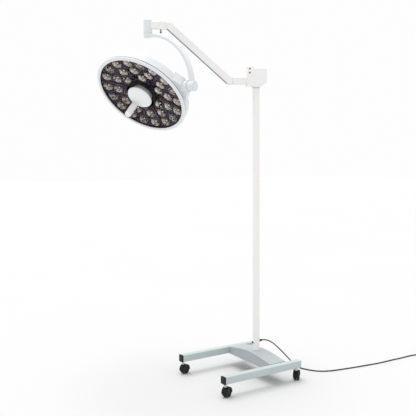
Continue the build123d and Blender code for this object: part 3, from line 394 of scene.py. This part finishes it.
# ---- Modelling moves ------------------------------------------------------------------------------------
def deselect():
    if bpy.context.mode != "OBJECT":
        bpy.ops.object.mode_set(mode="OBJECT")
    bpy.ops.object.select_all(action="DESELECT")


def focus(piece):
    """Makes a piece the only selected and active object."""
    deselect()
    piece.select_set(True)
    bpy.context.view_layer.objects.active = piece


def adopt(name):
    """Names the object that the last primitive made."""
    piece = bpy.context.active_object
    piece.name = piece.data.name = name
    return piece


def apply_place(piece, place=None):
    """Puts a piece in its place and leaves its object at the origin."""
    focus(piece)
    if place is not None:
        piece.matrix_world = place @ piece.matrix_world
    bpy.ops.object.transform_apply(location=True, rotation=True, scale=True)


def pick(piece, test):
    """Selects, in edit mode, the faces whose middle and normal pass a test."""
    bpy.ops.mesh.select_mode(type="FACE")
    bpy.ops.mesh.select_all(action="DESELECT")
    mesh = bmesh.from_edit_mesh(piece.data)
    found = [face for face in mesh.faces if test(face.calc_center_median(), face.normal)]
    if not found:
        raise RuntimeError(f"nothing to select on {piece.name}")
    for face in found:
        face.select_set(True)
    bmesh.update_edit_mesh(piece.data)


def edit(piece):
    focus(piece)
    bpy.ops.object.mode_set(mode="EDIT")


def leave():
    bpy.ops.object.mode_set(mode="OBJECT")


def modify(piece, kind, **settings):
    """Adds a modifier and applies it."""
    focus(piece)
    modifier = piece.modifiers.new(kind.title(), kind)
    for key, value in settings.items():
        setattr(modifier, key, value)
    bpy.ops.object.modifier_apply(modifier=modifier.name)


def soften(piece, width, segments=3, angle=32):
    modify(
        piece, "BEVEL", width=width, segments=segments, limit_method="ANGLE", angle_limit=math.radians(angle),
        miter_outer="MITER_ARC", use_clamp_overlap=True,
    )


def turned(name, profile, sides=64, smooth=40):
    """Turns a closed outline of (radius, height) points in millimetres about Z.

    A circle is extruded and resized from point to point, and its seam is welded.
    """
    points = [(max(r * MM, POLE), z * MM) for r, z in profile]
    radius, height = points[0]
    deselect()
    bpy.ops.mesh.primitive_circle_add(vertices=sides, radius=radius, location=(0, 0, height))
    piece = adopt(name)
    apply_place(piece)
    edit(piece)
    bpy.ops.mesh.select_all(action="SELECT")
    for (r0, z0), (r1, z1) in zip(points, points[1:]):
        bpy.ops.mesh.extrude_edges_move(TRANSFORM_OT_translate={"value": (0, 0, z1 - z0)})
        if abs(r1 - r0) > SAME_RADIUS:
            bpy.ops.transform.resize(value=(r1 / r0, r1 / r0, 1), center_override=(0, 0, z1))
    bpy.ops.mesh.select_all(action="SELECT")
    bpy.ops.mesh.remove_doubles(threshold=WELD)
    bpy.ops.mesh.normals_make_consistent(inside=False)
    leave()
    focus(piece)
    bpy.ops.object.shade_smooth_by_angle(angle=math.radians(smooth))
    return piece


def bar(name, size, rounding=0.0, segments=3):
    """A rounded block about the origin, its size in millimetres."""
    deselect()
    bpy.ops.mesh.primitive_cube_add(size=1, location=(0, 0, 0))
    piece = adopt(name)
    piece.scale = [side * MM for side in size]
    apply_place(piece)
    if rounding:
        edit(piece)
        bpy.ops.mesh.select_all(action="SELECT")
        bpy.ops.mesh.bevel(offset=rounding * MM, segments=segments, affect="EDGES")
        leave()
    focus(piece)
    bpy.ops.object.shade_smooth_by_angle(angle=math.radians(35))
    return piece


def copied(piece):
    focus(piece)
    bpy.ops.object.duplicate(linked=False)
    return bpy.context.active_object


def joined(name, pieces):
    """Joins pieces into one."""
    deselect()
    for piece in pieces:
        piece.select_set(True)
    bpy.context.view_layer.objects.active = pieces[0]
    if len(pieces) > 1:
        bpy.ops.object.join()
    whole = bpy.context.active_object
    whole.name = whole.data.name = name
    return whole


def repeated(name, piece, places):
    """Copies a piece to every place and joins the copies."""
    copies = []
    for place in places:
        copy = copied(piece)
        apply_place(copy, place)
        copies.append(copy)
    bpy.data.objects.remove(piece)
    return joined(name, copies)


def dressed(piece, body, slot, *replaced, finish=None):
    """Gives a finished piece its material, its body and the CAD nodes it stands for."""
    piece.data.materials.clear()
    piece.data.materials.append(FINISHES[finish or slot])
    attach(piece, body)
    if replaced:
        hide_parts(*replaced)
    return piece


def turn_z(degrees):
    return Matrix.Rotation(math.radians(degrees), 4, "Z")


def shift(x=0.0, y=0.0, z=0.0):
    return Matrix.Translation((x * MM, y * MM, z * MM))


# ---- Operators: one for each piece or group of like pieces --------------------------------------------
class LIGHT_OT_camera(bpy.types.Operator):
    """Places the camera level, in front of the light and to its left"""

    bl_idname = "surgical_light.camera"
    bl_label = "Camera"

    place = (-2.173, -2.880, 1.219)
    forward = Vector((0.5402, 0.8415, 0))
    sensor = 36
    rise = -0.12

    def execute(self, context):
        studio = context.scene.light_studio
        data = bpy.data.cameras.new("studio_camera")
        camera = bpy.data.objects.new("studio_camera", data)
        context.scene.collection.objects.link(camera)
        camera.location = self.place
        camera.rotation_euler = self.forward.to_track_quat("-Z", "Y").to_euler()
        data.lens = studio.lens
        data.sensor_width = self.sensor
        data.shift_y = self.rise
        data.clip_start, data.clip_end = 0.05, 60
        context.scene.camera = camera
        return {"FINISHED"}


class LIGHT_OT_studio(bpy.types.Operator):
    """Builds the pale floor, the white surround, the overhead light and the soft box in front"""

    bl_idname = "surgical_light.studio"
    bl_label = "Studio"

    overhead_spread = math.radians(45)
    overhead_travel = Vector((0.12, -0.18, -1))

    def soft_box(self, context, name, place, target, size, power):
        data = bpy.data.lights.new(name, "AREA")
        data.shape, data.size, data.energy = "DISK", size, power
        light = bpy.data.objects.new(name, data)
        context.scene.collection.objects.link(light)
        light.location = place
        light.rotation_euler = (Vector(target) - Vector(place)).to_track_quat("-Z", "Y").to_euler()

    def execute(self, context):
        studio, colours = context.scene.light_studio, context.scene.light_colours
        deselect()
        bpy.ops.mesh.primitive_plane_add(size=60, location=(0, 0, 0))
        floor = adopt("studio_floor")
        finish = Finish("studio_floor", colours.floor, 0.75)
        finish.shade(finish.noise(0.6, 2), 0.01)
        finish.set("Roughness", finish.noise(3, 2) * 0.1 + 0.7)
        floor.data.materials.append(finish.material)
        world = bpy.data.worlds.new("studio_surround")
        context.scene.world = world
        world.use_nodes = True
        sky = next(n for n in world.node_tree.nodes if n.type == "BACKGROUND")
        sky.inputs["Color"].default_value = (1, 1, 1, 1)
        sky.inputs["Strength"].default_value = studio.sky
        data = bpy.data.lights.new("overhead", "SUN")
        data.energy, data.angle = studio.overhead, self.overhead_spread
        overhead = bpy.data.objects.new("overhead", data)
        context.scene.collection.objects.link(overhead)
        overhead.rotation_euler = self.overhead_travel.to_track_quat("-Z", "Y").to_euler()
        self.soft_box(context, "fill_box", (-0.6, -4.2, 2.4), (-0.2, 0, 1.3), 1.8, studio.fill)
        context.scene.view_settings.view_transform = "Standard"
        context.scene.view_settings.exposure = studio.exposure
        return {"FINISHED"}


class LIGHT_OT_frame_finish(bpy.types.Operator):
    """Gives every part of the frame the finish of its slot, but gives the darker shell paint, as painted shade, to
    the yoke arm, bearing housing and yoke end cap
    """

    bl_idname = "surgical_light.frame_finish"
    bl_label = "Frame finishes"

    parts = {
        "leg_paint": ("left_leg", "right_leg", "leg_rear_caps", "caster_sockets"),
        "black_plastic": ("leg_front_caps", "recess_ring"),
        "hub_plastic": ("hub_cover",),
        "dark_steel": ("cross_beam", "socket_bolts", "hub_screws", "lock_screw"),
        "cast_iron": ("counterweights",),
        "steel": (
            "column_socket", "swivel_shaft", "arm_beam", "arm_spring", "arm_pins", "parallel_rod", "yoke_bearings",
            "yoke_spindle", "tilt_shaft", "handle_spigot",
        ),
        "column_paint": ("column_tube", "switch_bezel"),
        "potting": ("power_supply",),
        "arm_paint": ("column_head", "arm_root", "knuckle_block", "knuckle_collar", "bearing_housing", "yoke_arm"),
        "arm_plastic": ("arm_upper_cover", "yoke_end_cap"),
        "grey_plastic": ("arm_lower_cover",),
        "bronze": ("column_bushes", "tilt_bushes"),
        "shell_paint": ("head_shell", "pivot_housing"),
        "bezel_plastic": ("front_bezel",),
        "black_rubber": ("bezel_seal", "cable_gland", "power_button", "mains_plug"),
        "clear_cover": ("front_cover",),
        "carrier_plastic": ("lens_carrier",),
        "mirror_metal": ("reflectors",),
        "phosphor": ("led_chips",),
        "board": ("led_board",),
        "dome_plastic": ("centre_dome",),
        "handle_plastic": ("handle",),
        "cord_jacket": ("power_cord", "cord_coil"),
    }
    # Painted shade: these parts take the darker, bluer shell paint in place of the white arm paint.
    painted_shade_parts = ("yoke_arm", "bearing_housing", "yoke_end_cap")

    def execute(self, context):
        make_finishes(context.scene.light_colours)
        slots = {node: slot for slot, nodes in self.parts.items() for node in nodes}
        for name, node in frame["nodes"].items():
            if name.startswith("caster_fork"):
                slot = "black_plastic"
            elif name.startswith("caster_wheels"):
                slot = "tread"
            else:
                slot = slots[name]
            node.data.materials.clear()
            node.data.materials.append(FINISHES["shell_paint" if name in self.painted_shade_parts else slot])
        return {"FINISHED"}


class LIGHT_OT_cord(bpy.types.Operator):
    """Lays the mains cord, its tied coil, its strain relief and its plug"""

    bl_idname = "surgical_light.cord"
    bl_label = "Mains cord"

    exit = (0.042, 0.0, 0.182)
    floor = 3.6 * MM
    route = (
        (0.068, -0.002, 0.1815), (0.106, -0.019, 0.161), (0.149, -0.037, 0.116), (0.194, -0.051, 0.066),
        (0.229, -0.062, 0.026), (0.256, -0.075, 0.006), (0.272, -0.103, 0.0036), (0.286, -0.141, 0.0036),
        (0.318, -0.180, 0.0036), (0.371, -0.208, 0.0036), (0.443, -0.222, 0.0036), (0.527, -0.237, 0.0036),
        (0.618, -0.249, 0.0036), (0.713, -0.262, 0.0036), (0.806, -0.262, 0.0036), (0.901, -0.268, 0.0036),
        (0.992, -0.266, 0.0036), (1.070, -0.282, 0.0036),
    )
    coil_middle = Vector((1.1475, -0.258, 0))
    entry_angle = -112.0
    turns = 2.947
    climb = 60.0
    points_a_turn = 16
    pitch = 7.3 * MM
    layer_lift = 7.1 * MM

    def coil(self, outer):
        """Points of the turns: in along the floor, up, and out again on top."""
        pitch, step = self.pitch, 360 / self.points_a_turn
        layer = self.turns * 360
        whole = 2 * layer + self.climb
        inner = outer - pitch * self.turns
        points = []
        count = round(whole / step)
        for k in range(count + 1):
            swept = k * whole / count
            if swept < layer:
                radius, height = outer - pitch * swept / 360, self.floor
            elif swept < layer + self.climb:
                radius, height = inner, self.floor + self.layer_lift * (swept - layer) / self.climb
            else:
                radius, height = inner + pitch * (swept - layer - self.climb) / 360, self.floor + self.layer_lift
            angle = math.radians(self.entry_angle + swept)
            flat = Vector((math.cos(angle), math.sin(angle), 0)) * radius
            points.append(self.coil_middle + flat + UP * height)
        return points

    def lay(self, radius, outer):
        plug_tail = self.plug_tail()
        points = [Vector(self.exit), *map(Vector, self.route), *self.coil(outer)]
        points.append((points[-1] + plug_tail) / 2)
        points.append(plug_tail + Vector((4 * MM, 0, 0)))
        data = bpy.data.curves.new("mains_cord", "CURVE")
        data.dimensions = "3D"
        spline = data.splines.new("NURBS")
        spline.points.add(len(points) - 1)
        for entry, at in zip(spline.points, points):
            entry.co = (*at, 1)
        spline.order_u = 3
        spline.use_endpoint_u = True
        spline.resolution_u = 6
        data.bevel_depth = radius
        data.bevel_resolution = 3
        data.use_fill_caps = True
        cord = bpy.data.objects.new("mains_cord", data)
        bpy.context.scene.collection.objects.link(cord)
        return cord

    def plug_tail(self):
        low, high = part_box("mains_plug")
        return Vector((low.x, (low.y + high.y) / 2, 14 * MM))

    def strain_relief(self):
        """A flanged, ribbed taper at the column."""
        profile = [(3.6, -6), (6.0, -6), (6.0, 0), (8.4, 0.6), (8.4, 3.0), (7.4, 3.6), (6.9, 3.7)]
        for k in range(6):
            start, thick = 4.4 + k * 2.6, 6.9 - k * 0.32
            profile += [(thick, start), (thick, start + 1.6), (thick - 1.0, start + 1.9), (thick - 1.0, start + 2.3)]
        profile += [(5.0, 20.4), (4.7, 21.4), (4.0, 22), (3.6, 22), (3.6, -6)]
        relief = turned("strain_relief", profile, 40)
        place = axes((self.exit[0] - 22 * MM, 0, self.exit[2]), UP, (1, 0, 0))
        apply_place(relief, place)
        return dressed(relief, "stand", "black_rubber", "cable_gland")

    def plug(self):
        """A moulded plug with a ribbed grip and a tapered tail."""
        low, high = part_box("mains_plug")
        tail = self.plug_tail()
        body = bar("plug_body", (36, 34, 31))
        edit(body)
        pick(body, lambda at, normal: normal.x < -0.9)
        bpy.ops.mesh.inset(thickness=3 * MM)
        bpy.ops.transform.translate(value=(-3 * MM, 0, 0))
        bpy.ops.transform.resize(value=(1, 0.62, 0.62))
        pick(body, lambda at, normal: abs(normal.y) > 0.9 and abs(at.x) < 17 * MM)
        bpy.ops.mesh.subdivide(number_cuts=7)
        pick(
            body,
            lambda at, normal: abs(normal.y) > 0.9 and abs(at.z) < 9 * MM and round(at.x / MM / 4.5 - 0.5) % 2 == 0,
        )
        bpy.ops.mesh.extrude_region_shrink_fatten(TRANSFORM_OT_shrink_fatten={"value": -0.9 * MM})
        leave()
        soften(body, 2.2 * MM, 3, 50)
        apply_place(body, Matrix.Translation((tail.x + 38 * MM, tail.y, 16.2 * MM)))
        cone = turned(
            "plug_tail",
            [(3.6, 0), (4.6, 0), (4.9, 1), (4.9, 3), (4.3, 3.4), (4.3, 4.6), (5.5, 5), (5.5, 7.4), (4.9, 7.8),
             (4.9, 9), (6.2, 9.4), (6.2, 11.8), (5.6, 12.2), (5.6, 13.4), (7.2, 14), (7.6, 20), (3.6, 20), (3.6, 0)],
            36,
        )
        apply_place(cone, axes(tail, UP, (1, 0, 0)))
        body = joined("plug_body", [body, cone])
        focus(body)
        bpy.ops.object.shade_smooth_by_angle(angle=math.radians(38))
        pins = []
        face = tail.x + 54 * MM
        for side in (-1, 1):
            pin = bar(f"pin_{side}", (18, 1.6, 6.4), 0.5, 2)
            apply_place(pin, Matrix.Translation((face + 7 * MM, tail.y + side * 6.3 * MM, 18.2 * MM)))
            pins.append(pin)
        earth = turned("pin_earth", [(0, 0), (2.4, 0), (2.4, 19.4), (1.7, 21.6), (0, 22)], 24)
        apply_place(earth, axes((face - 2 * MM, tail.y, 8 * MM), UP, (1, 0, 0)))
        pins.append(earth)
        pins = joined("plug_pins", pins)
        dressed(body, "stand", "black_rubber", "mains_plug")
        dressed(pins, "stand", "steel")
        return body, pins

    def tie(self, outer):
        """A strap with rounded corners round the coil's turns."""
        width, high = 3 * self.pitch / MM + 3.4, 16.4
        strap = bar("cord_tie", (width, 16, high), 3.0, 4)
        edit(strap)
        pick(strap, lambda at, normal: abs(normal.y) > 0.9)
        bpy.ops.mesh.delete(type="FACE")
        leave()
        modify(strap, "SOLIDIFY", thickness=0.9 * MM, offset=-1)
        middle = self.coil_middle + Vector((0, outer - 1.06 * self.pitch, 8.25 * MM))
        apply_place(strap, Matrix.Translation(middle) @ turn_z(90))
        return dressed(strap, "stand", "black_rubber")

    def execute(self, context):
        sizes = context.scene.light_sizes
        cord = self.lay(sizes.cord / 2, sizes.coil)
        cord.data.materials.append(FINISHES["cord_jacket"])
        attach(cord, "stand")
        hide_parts("power_cord", "cord_coil")
        body, pins = self.plug()
        relief, tie = self.strain_relief(), self.tie(sizes.coil)
        return {"FINISHED"}


class LIGHT_OT_casters(bpy.types.Operator):
    """Models one hooded twin-wheel caster and copies it to the four corners"""

    bl_idname = "surgical_light.casters"
    bl_label = "Casters"

    gap_half = 3.5 * MM
    trail = 13
    hood_reach = 2.5 * MM
    hood_half = 15.5 * MM
    hood_wall = 1.5 * MM
    socket_drop = 17.0

    def wheel(self, radius):
        """A wheel about Z: soft tread, pocketed disc and hub cap, its outer side up."""
        r = radius / MM
        wheel = turned(
            "wheel",
            [(4.0, 0), (r - 9, 0), (r - 8, 0.6), (r - 7, 0), (r - 2.4, 0), (r - 0.9, 0.7), (r - 0.1, 2.4),
             (r, 4.4), (r, 6.6), (r - 0.1, 8.6), (r - 0.9, 10.3), (r - 2.4, 11), (r - 5.0, 11), (r - 5.6, 10.5),
             (r - 6.0, 9.2), (r - 6.8, 8.9), (10.9, 8.6), (10.0, 8.8), (9.4, 9.8), (8.2, 10.5), (5.0, 10.9),
             (4.0, 10.9), (4.0, 0)],
            60,
        )
        edit(wheel)
        pick(wheel, lambda at, n: n.z > 0.9 and 11 * MM < at.xy.length < (r - 6.9) * MM and
             math.degrees(math.atan2(at.y, at.x)) % 60 < 42)
        bpy.ops.mesh.inset(thickness=0.7 * MM)
        bpy.ops.transform.translate(value=(0, 0, -1.8 * MM))
        leave()
        focus(wheel)
        bpy.ops.object.shade_smooth_by_angle(angle=math.radians(34))
        return wheel

    def wheels(self, radius):
        """Two wheels, about the axle's middle along Y."""
        near = self.wheel(radius)
        far = copied(near)
        apply_place(far, axes((0, self.gap_half, 0), (1, 0, 0), (0, 1, 0)))
        apply_place(near, axes((0, -self.gap_half, 0), (1, 0, 0), (0, -1, 0)))
        return joined("wheel_pair", [near, far])

    def axle(self):
        axle = turned("axle", [(0, -15.0), (3.2, -15.0), (3.9, -14.3), (3.9, 14.3), (3.2, 15.0), (0, 15.0)], 24)
        apply_place(axle, axes((0, 0, 0), (1, 0, 0), (0, 1, 0)))
        return axle

    def hood(self, radius, leg_floor):
        """The shell over the wheels with its middle web, boss and stem, about the axle's middle."""
        outer, half = radius + self.hood_reach, self.hood_half
        deselect()
        bpy.ops.mesh.primitive_cylinder_add(vertices=72, radius=outer, depth=2 * half, location=(0, 0, 0))
        hood = adopt("hood")
        apply_place(hood, axes((0, 0, 0), (1, 0, 0), (0, 1, 0)))
        edit(hood)
        bpy.ops.mesh.select_all(action="SELECT")
        bpy.ops.mesh.bisect(plane_co=(0, 0, -6 * MM), plane_no=(0, 0, 1), clear_inner=True)
        pick(hood, lambda at, n: abs(n.y) > 0.9)
        bpy.ops.mesh.delete(type="FACE")
        leave()
        modify(hood, "SOLIDIFY", thickness=self.hood_wall, offset=-1)
        soften(hood, 0.6 * MM, 3, 40)
        deselect()
        bpy.ops.mesh.primitive_cylinder_add(vertices=72, radius=outer - 0.7 * MM, depth=6.0 * MM, location=(0, 0, 0))
        web = adopt("web")
        apply_place(web, axes((0, 0, 0), (1, 0, 0), (0, 1, 0)))
        edit(web)
        bpy.ops.mesh.select_all(action="SELECT")
        bpy.ops.mesh.bisect(plane_co=(0, 0, -13 * MM), plane_no=(0, 0, 1), clear_inner=True, use_fill=True)
        leave()
        soften(web, 0.8 * MM, 2, 40)
        swivel = Vector((-self.trail * MM, 0, 0))
        top = (leg_floor - radius) / MM - self.socket_drop
        foot = math.sqrt(((outer - self.hood_wall) / MM) ** 2 - self.trail**2)
        boss = turned(
            "boss",
            [(0, foot - 0.5), (8.4, foot - 0.5), (8.2, top - 2.0), (7.6, top - 0.6), (7.0, top), (4.9, top),
             (4.9, top + 12), (0, top + 12)],
            48,
        )
        apply_place(boss, Matrix.Translation(swivel))
        hood = joined("hood", [hood, web, boss])
        focus(hood)
        bpy.ops.object.shade_smooth_by_angle(angle=math.radians(36))
        return hood

    def execute(self, context):
        low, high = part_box("caster_wheels_front_left")
        radius = (high.z - low.z) / 2
        leg_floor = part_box("left_leg")[0].z
        wheels, axle, hood = self.wheels(radius), self.axle(), self.hood(radius, leg_floor)
        for name in CASTERS:
            roll = f"wheel_roll_{name}"
            place = axes(joint_place(roll), joint_axis(roll).cross(UP), UP)
            for model, body, slot, node in (
                (wheels, "wheels", "tread", f"caster_wheels_{name}"),
                (axle, "wheels", "black_plastic", None),
                (hood, "caster", "black_plastic", f"caster_fork_{name}"),
            ):
                copy = copied(model)
                copy.name = copy.data.name = f"{model.name.split('.')[0]}_{name}"
                apply_place(copy, place)
                dressed(copy, f"{body}_{name}", slot, *([node] if node else []))
        for model in (wheels, axle, hood):
            bpy.data.objects.remove(model)
        return {"FINISHED"}


class LIGHT_OT_column_details(bpy.types.Operator):
    """Adds the column's foot gasket and the dished power button"""

    bl_idname = "surgical_light.column_details"
    bl_label = "Column details"

    def execute(self, context):
        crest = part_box("hub_cover")[1].z / MM
        gasket = turned(
            "foot_gasket",
            [(20.0, crest - 1), (22.6, crest - 1), (22.6, crest + 0.5), (21.6, crest + 1.8), (20.0, crest + 2.6),
             (20.0, crest - 1)],
            72,
        )
        dressed(gasket, "stand", "leg_paint")
        low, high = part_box("power_button")
        button = turned(
            "button_cap",
            [(0, 0), (7.1, 0), (7.1, 2.5), (5.9, 2.6), (5.9, 12.2), (5.5, 13.3), (4.6, 13.9), (3.6, 13.6), (0, 12.8)],
            40,
        )
        middle = (low + high) / 2
        apply_place(button, axes((high.x, middle.y, middle.z), UP, (-1, 0, 0)))
        dressed(button, "power_button", "black_rubber", "power_button")
        return {"FINISHED"}


class LIGHT_OT_lens_panel(bpy.types.Operator):
    """Fills the lens panel: reflectors, light sources, collars and webs"""

    bl_idname = "surgical_light.lens_panel"
    bl_label = "Lens panel"

    face = 49.0
    dish_depth = 38.0
    dish_radius = 1250.0
    rows = ((112.0, (0.0,)), (160.0, (-15.5, 15.5)), (219.0, (-19.7, 0.0, 19.7)))
    sectors = 6
    facets = 16
    levels = (0.10, 0.30, 1.0, 1.0)  # painted reflection of the facets, ring by ring from the middle; the middle rings are painted dark
    bright = 138.0  # the bearing, about the head, of each reflector's painted highlights

    def on_dish(self, radius, degrees, lift=0.0):
        """A place on the dish, its Z square to it and its X outwards."""
        tilt = math.asin(radius / self.dish_radius)
        drop = self.dish_radius - math.sqrt(self.dish_radius**2 - radius**2)
        height = self.face - self.dish_depth + drop
        return HEAD @ turn_z(degrees) @ shift(radius, 0, height) @ Matrix.Rotation(-tilt, 4, "Y") @ shift(0, 0, lift)

    def places(self):
        found = []
        for sector in range(self.sectors):
            for radius, offsets in self.rows:
                for offset in offsets:
                    degrees = sector * 360 / self.sectors + offset
                    found.append(self.on_dish(radius, degrees) @ turn_z(-degrees))
        return found

    def cup(self, r):
        """A faceted reflector with a rolled rim, its facets carrying painted reflections."""
        wall = [(11.0, -18.0), (15.4, -14.4), (19.6, -9.6), (r - 3.4, -4.2), (r - 1.2, 1.4)]
        cup = turned(
            "reflector",
            [(5.0, -19.4), *wall, (r - 0.7, 2.2), (r - 0.1, 2.3), (r + 0.3, 1.6), (r + 0.3, 0.4), (r - 0.6, 0.4),
             (r - 2.4, -4.6), (14.6, -17.2), (10.2, -20.2), (5.0, -20.4), (5.0, -19.4)],
            self.facets, smooth=12,
        )
        # Each facet's value paints a reflection into the mirror's colour: highlights at the two ends along one
        # bearing, dark middle rings, every other facet darker and a bright rim.
        facet = cup.data.attributes.new("facet", "FLOAT", "FACE")
        rings = [abs((wall[k][0] + wall[k + 1][0]) / 2) for k in range(len(wall) - 1)]
        for face in cup.data.polygons:
            middle = face.center / MM
            ring = min(range(len(rings)), key=lambda k: abs(rings[k] - middle.xy.length))
            angle = math.degrees(math.atan2(middle.y, middle.x)) % 360
            sector = int(angle * self.facets / 360)
            across = abs(math.cos(math.radians(angle - self.bright)))
            level = self.levels[ring] * (0.30 + 0.70 * across) * (1.0 if (sector + ring) % 2 else 0.70)
            facet.data[face.index].value = 0.9 if middle.xy.length > r - 1.4 else level
        return cup

    def source(self):
        """The holder and silicone lens in the middle of a reflector."""
        holder = turned(
            "source_holder",
            [(0, -21.4), (8.6, -21.4), (10.0, -18.6), (9.8, -11.6), (8.8, -9.4), (6.8, -9.2), (5.8, -10.6),
             (5.8, -14.6), (0, -14.6)],
            24,
        )
        lens = turned(
            "source_lens",
            [(0, -15.4), (5.6, -15.4), (5.5, -11.8), (4.8, -8.6), (3.4, -6.4), (1.6, -5.4), (0, -5.2)], 20, smooth=60,
        )
        return holder, lens

    def webs(self, width):
        """Thin ridges that part the reflectors of each sector, along the dish."""
        lines = (
            ((196.0, 0.0), (160.0, 0.0)),
            ((249.0, 9.6), (196.0, 0.0)), ((249.0, -9.6), (196.0, 0.0)),
            ((160.0, 0.0), (127.0, 20.5)), ((160.0, 0.0), (127.0, -20.5)),
        )
        bars = []
        for sector in range(self.sectors):
            turn = sector * 360 / self.sectors
            for (r0, a0), (r1, a1) in lines:
                start = self.on_dish(r0, turn + a0).translation
                end = self.on_dish(r1, turn + a1).translation
                normal = self.on_dish((r0 + r1) / 2, turn + (a0 + a1) / 2).to_3x3() @ UP
                reach = (end - start).length / MM
                ridge = bar("web", (reach, width / MM, 3.2), 0.9, 2)
                apply_place(ridge, axes((start + end) / 2 + normal * 0.8 * MM, end - start, normal))
                bars.append(ridge)
        return joined("panel_webs", bars)

    def execute(self, context):
        sizes = context.scene.light_sizes
        r = sizes.reflector / MM
        places = self.places()
        cups = repeated("reflector_cups", self.cup(r), places)
        dressed(cups, "light_head", "mirror_metal", "reflectors")
        holder, lens = self.source()
        holders = repeated("source_holders", holder, places)
        dressed(holders, "light_head", "black_plastic")
        lenses = repeated("source_lenses", lens, places)
        dressed(lenses, "light_head", "phosphor", "led_chips")
        collar = turned(
            "collar", [(r - 0.4, 0), (r + 2.6, 0), (r + 2.4, 1.6), (r + 1.6, 2.6), (r + 0.6, 2.8), (r - 0.2, 2.5),
                       (r - 0.4, 0)], 48
        )
        collars = repeated("reflector_collars", collar, places)
        dressed(collars, "light_head", "carrier_plastic")
        dressed(self.webs(sizes.web), "light_head", "carrier_plastic", finish="web_plastic")
        ribs = []
        for k in range(self.sectors):
            degrees = (k + 0.5) * 360 / self.sectors
            rib = bar("rib", (158, 8.6, 6.2), 2.2, 4)
            apply_place(rib, self.on_dish(171.0, degrees, 2.9))
            ribs.append(rib)
        dressed(joined("sector_ribs", ribs), "light_head", "carrier_plastic", finish="web_plastic")
        return {"FINISHED"}


class LIGHT_OT_head_ring(bpy.types.Operator):
    """Turns the head's bezel with rolled edges"""

    bl_idname = "surgical_light.head_ring"
    bl_label = "Bezel and seal"

    def execute(self, context):
        bezel = turned(
            "bezel_ring",
            [(251.0, 47.6), (251.1, 48.9), (251.9, 50.2), (253.4, 51.0), (258.0, 51.3), (264.2, 50.9), (267.4, 49.9),
             (269.8, 48.2), (271.2, 45.8), (271.5, 43.6), (271.5, 41.8), (270.9, 41.1), (270.0, 40.9), (256.0, 40.9),
             (256.0, 48.0), (251.0, 47.6)],
            192, smooth=50,
        )
        apply_place(bezel, HEAD)
        dressed(bezel, "light_head", "bezel_plastic", "front_bezel")
        seal = turned(
            "bezel_gasket",
            [(254.0, 36.1), (267.6, 36.1), (268.2, 36.8), (268.2, 37.6), (267.4, 38.3), (267.4, 38.9), (268.2, 39.6),
             (268.2, 40.4), (267.6, 41.0), (254.0, 41.0), (254.0, 36.1)],
            192, smooth=50,
        )
        apply_place(seal, HEAD)
        dressed(seal, "light_head", "black_rubber", "bezel_seal")
        return {"FINISHED"}


class LIGHT_OT_dome_handle(bpy.types.Operator):
    """Turns the centre dome and the pull-off handle"""

    bl_idname = "surgical_light.dome_handle"
    bl_label = "Dome and handle"

    def execute(self, context):
        h = context.scene.light_sizes.handle / MM
        dome = turned(
            "dome_cover",
            [(50.0, 22), (57.0, 22), (57.0, 48), (61.0, 50.2), (66.5, 52.2), (70.6, 54.4), (72.6, 57.0), (72.7, 60.2),
             (71.0, 63.6), (67.6, 67.0), (62.4, 70.4), (55.6, 74.2), (48.0, 78.2), (40.6, 82.2), (34.2, 86.4),
             (28.8, 91.0), (24.8, 95.6), (h + 4.6, 99.6), (h + 3.0, 102.2), (h + 2.2, 103.6), (h + 1.2, 104.0),
             (9.0, 104.0), (9.0, 96.0), (20.0, 90.0), (36.0, 78.0), (50.0, 68.0), (53.0, 52.0), (50.0, 22)],
            96, smooth=50,
        )
        apply_place(dome, HEAD)
        dressed(dome, "light_head", "dome_plastic", "centre_dome")
        grip = turned(
            "handle_grip",
            [(9.1, 104.6), (h - 0.9, 104.6), (h - 0.2, 105.2), (h, 106.2), (h, 110.0), (h - 0.5, 110.6),
             (h - 0.5, 111.4), (h, 112.0), (h, 150.0), (h, 192.0), (h - 0.3, 195.4), (h - 1.3, 198.4),
             (h - 3.0, 200.6), (h - 5.4, 201.8), (h - 8.0, 202.0), (0, 202.0), (0, 172.0), (9.1, 172.0),
             (9.1, 104.6)],
            72, smooth=40,
        )
        apply_place(grip, HEAD)
        dressed(grip, "handle", "handle_plastic", "handle")
        return {"FINISHED"}


class LIGHT_PT_panel(bpy.types.Panel):
    """Lists the pieces and their settings"""

    bl_idname = "LIGHT_PT_panel"
    bl_label = "Surgical Light"
    bl_space_type = "VIEW_3D"
    bl_region_type = "UI"
    bl_category = "Surgical Light"

    def draw(self, context):
        for step in STEPS:
            self.layout.operator(step.bl_idname)
        for group in (context.scene.light_colours, context.scene.light_sizes, context.scene.light_studio):
            box = self.layout.box()
            for key in group.__annotations__:
                box.prop(group, key)


STEPS = (
    LIGHT_OT_camera, LIGHT_OT_frame_finish, LIGHT_OT_cord, LIGHT_OT_studio, LIGHT_OT_casters,
    LIGHT_OT_column_details, LIGHT_OT_lens_panel, LIGHT_OT_head_ring, LIGHT_OT_dome_handle,
)
GROUPS = {"light_colours": LightColours, "light_sizes": LightSizes, "light_studio": LightStudio}


def register():
    for made in (*GROUPS.values(), *STEPS, LIGHT_PT_panel):
        bpy.utils.register_class(made)
    for name, group in GROUPS.items():
        setattr(bpy.types.Scene, name, bpy.props.PointerProperty(type=group))


def unregister():
    for name in GROUPS:
        delattr(bpy.types.Scene, name)
    for made in reversed((*GROUPS.values(), *STEPS, LIGHT_PT_panel)):
        bpy.utils.unregister_class(made)


def main():
    register()
    for step in STEPS:
        area, name = step.bl_idname.split(".")
        getattr(getattr(bpy.ops, area), name)()
    deselect()


if __name__ == "__main__":
    main()
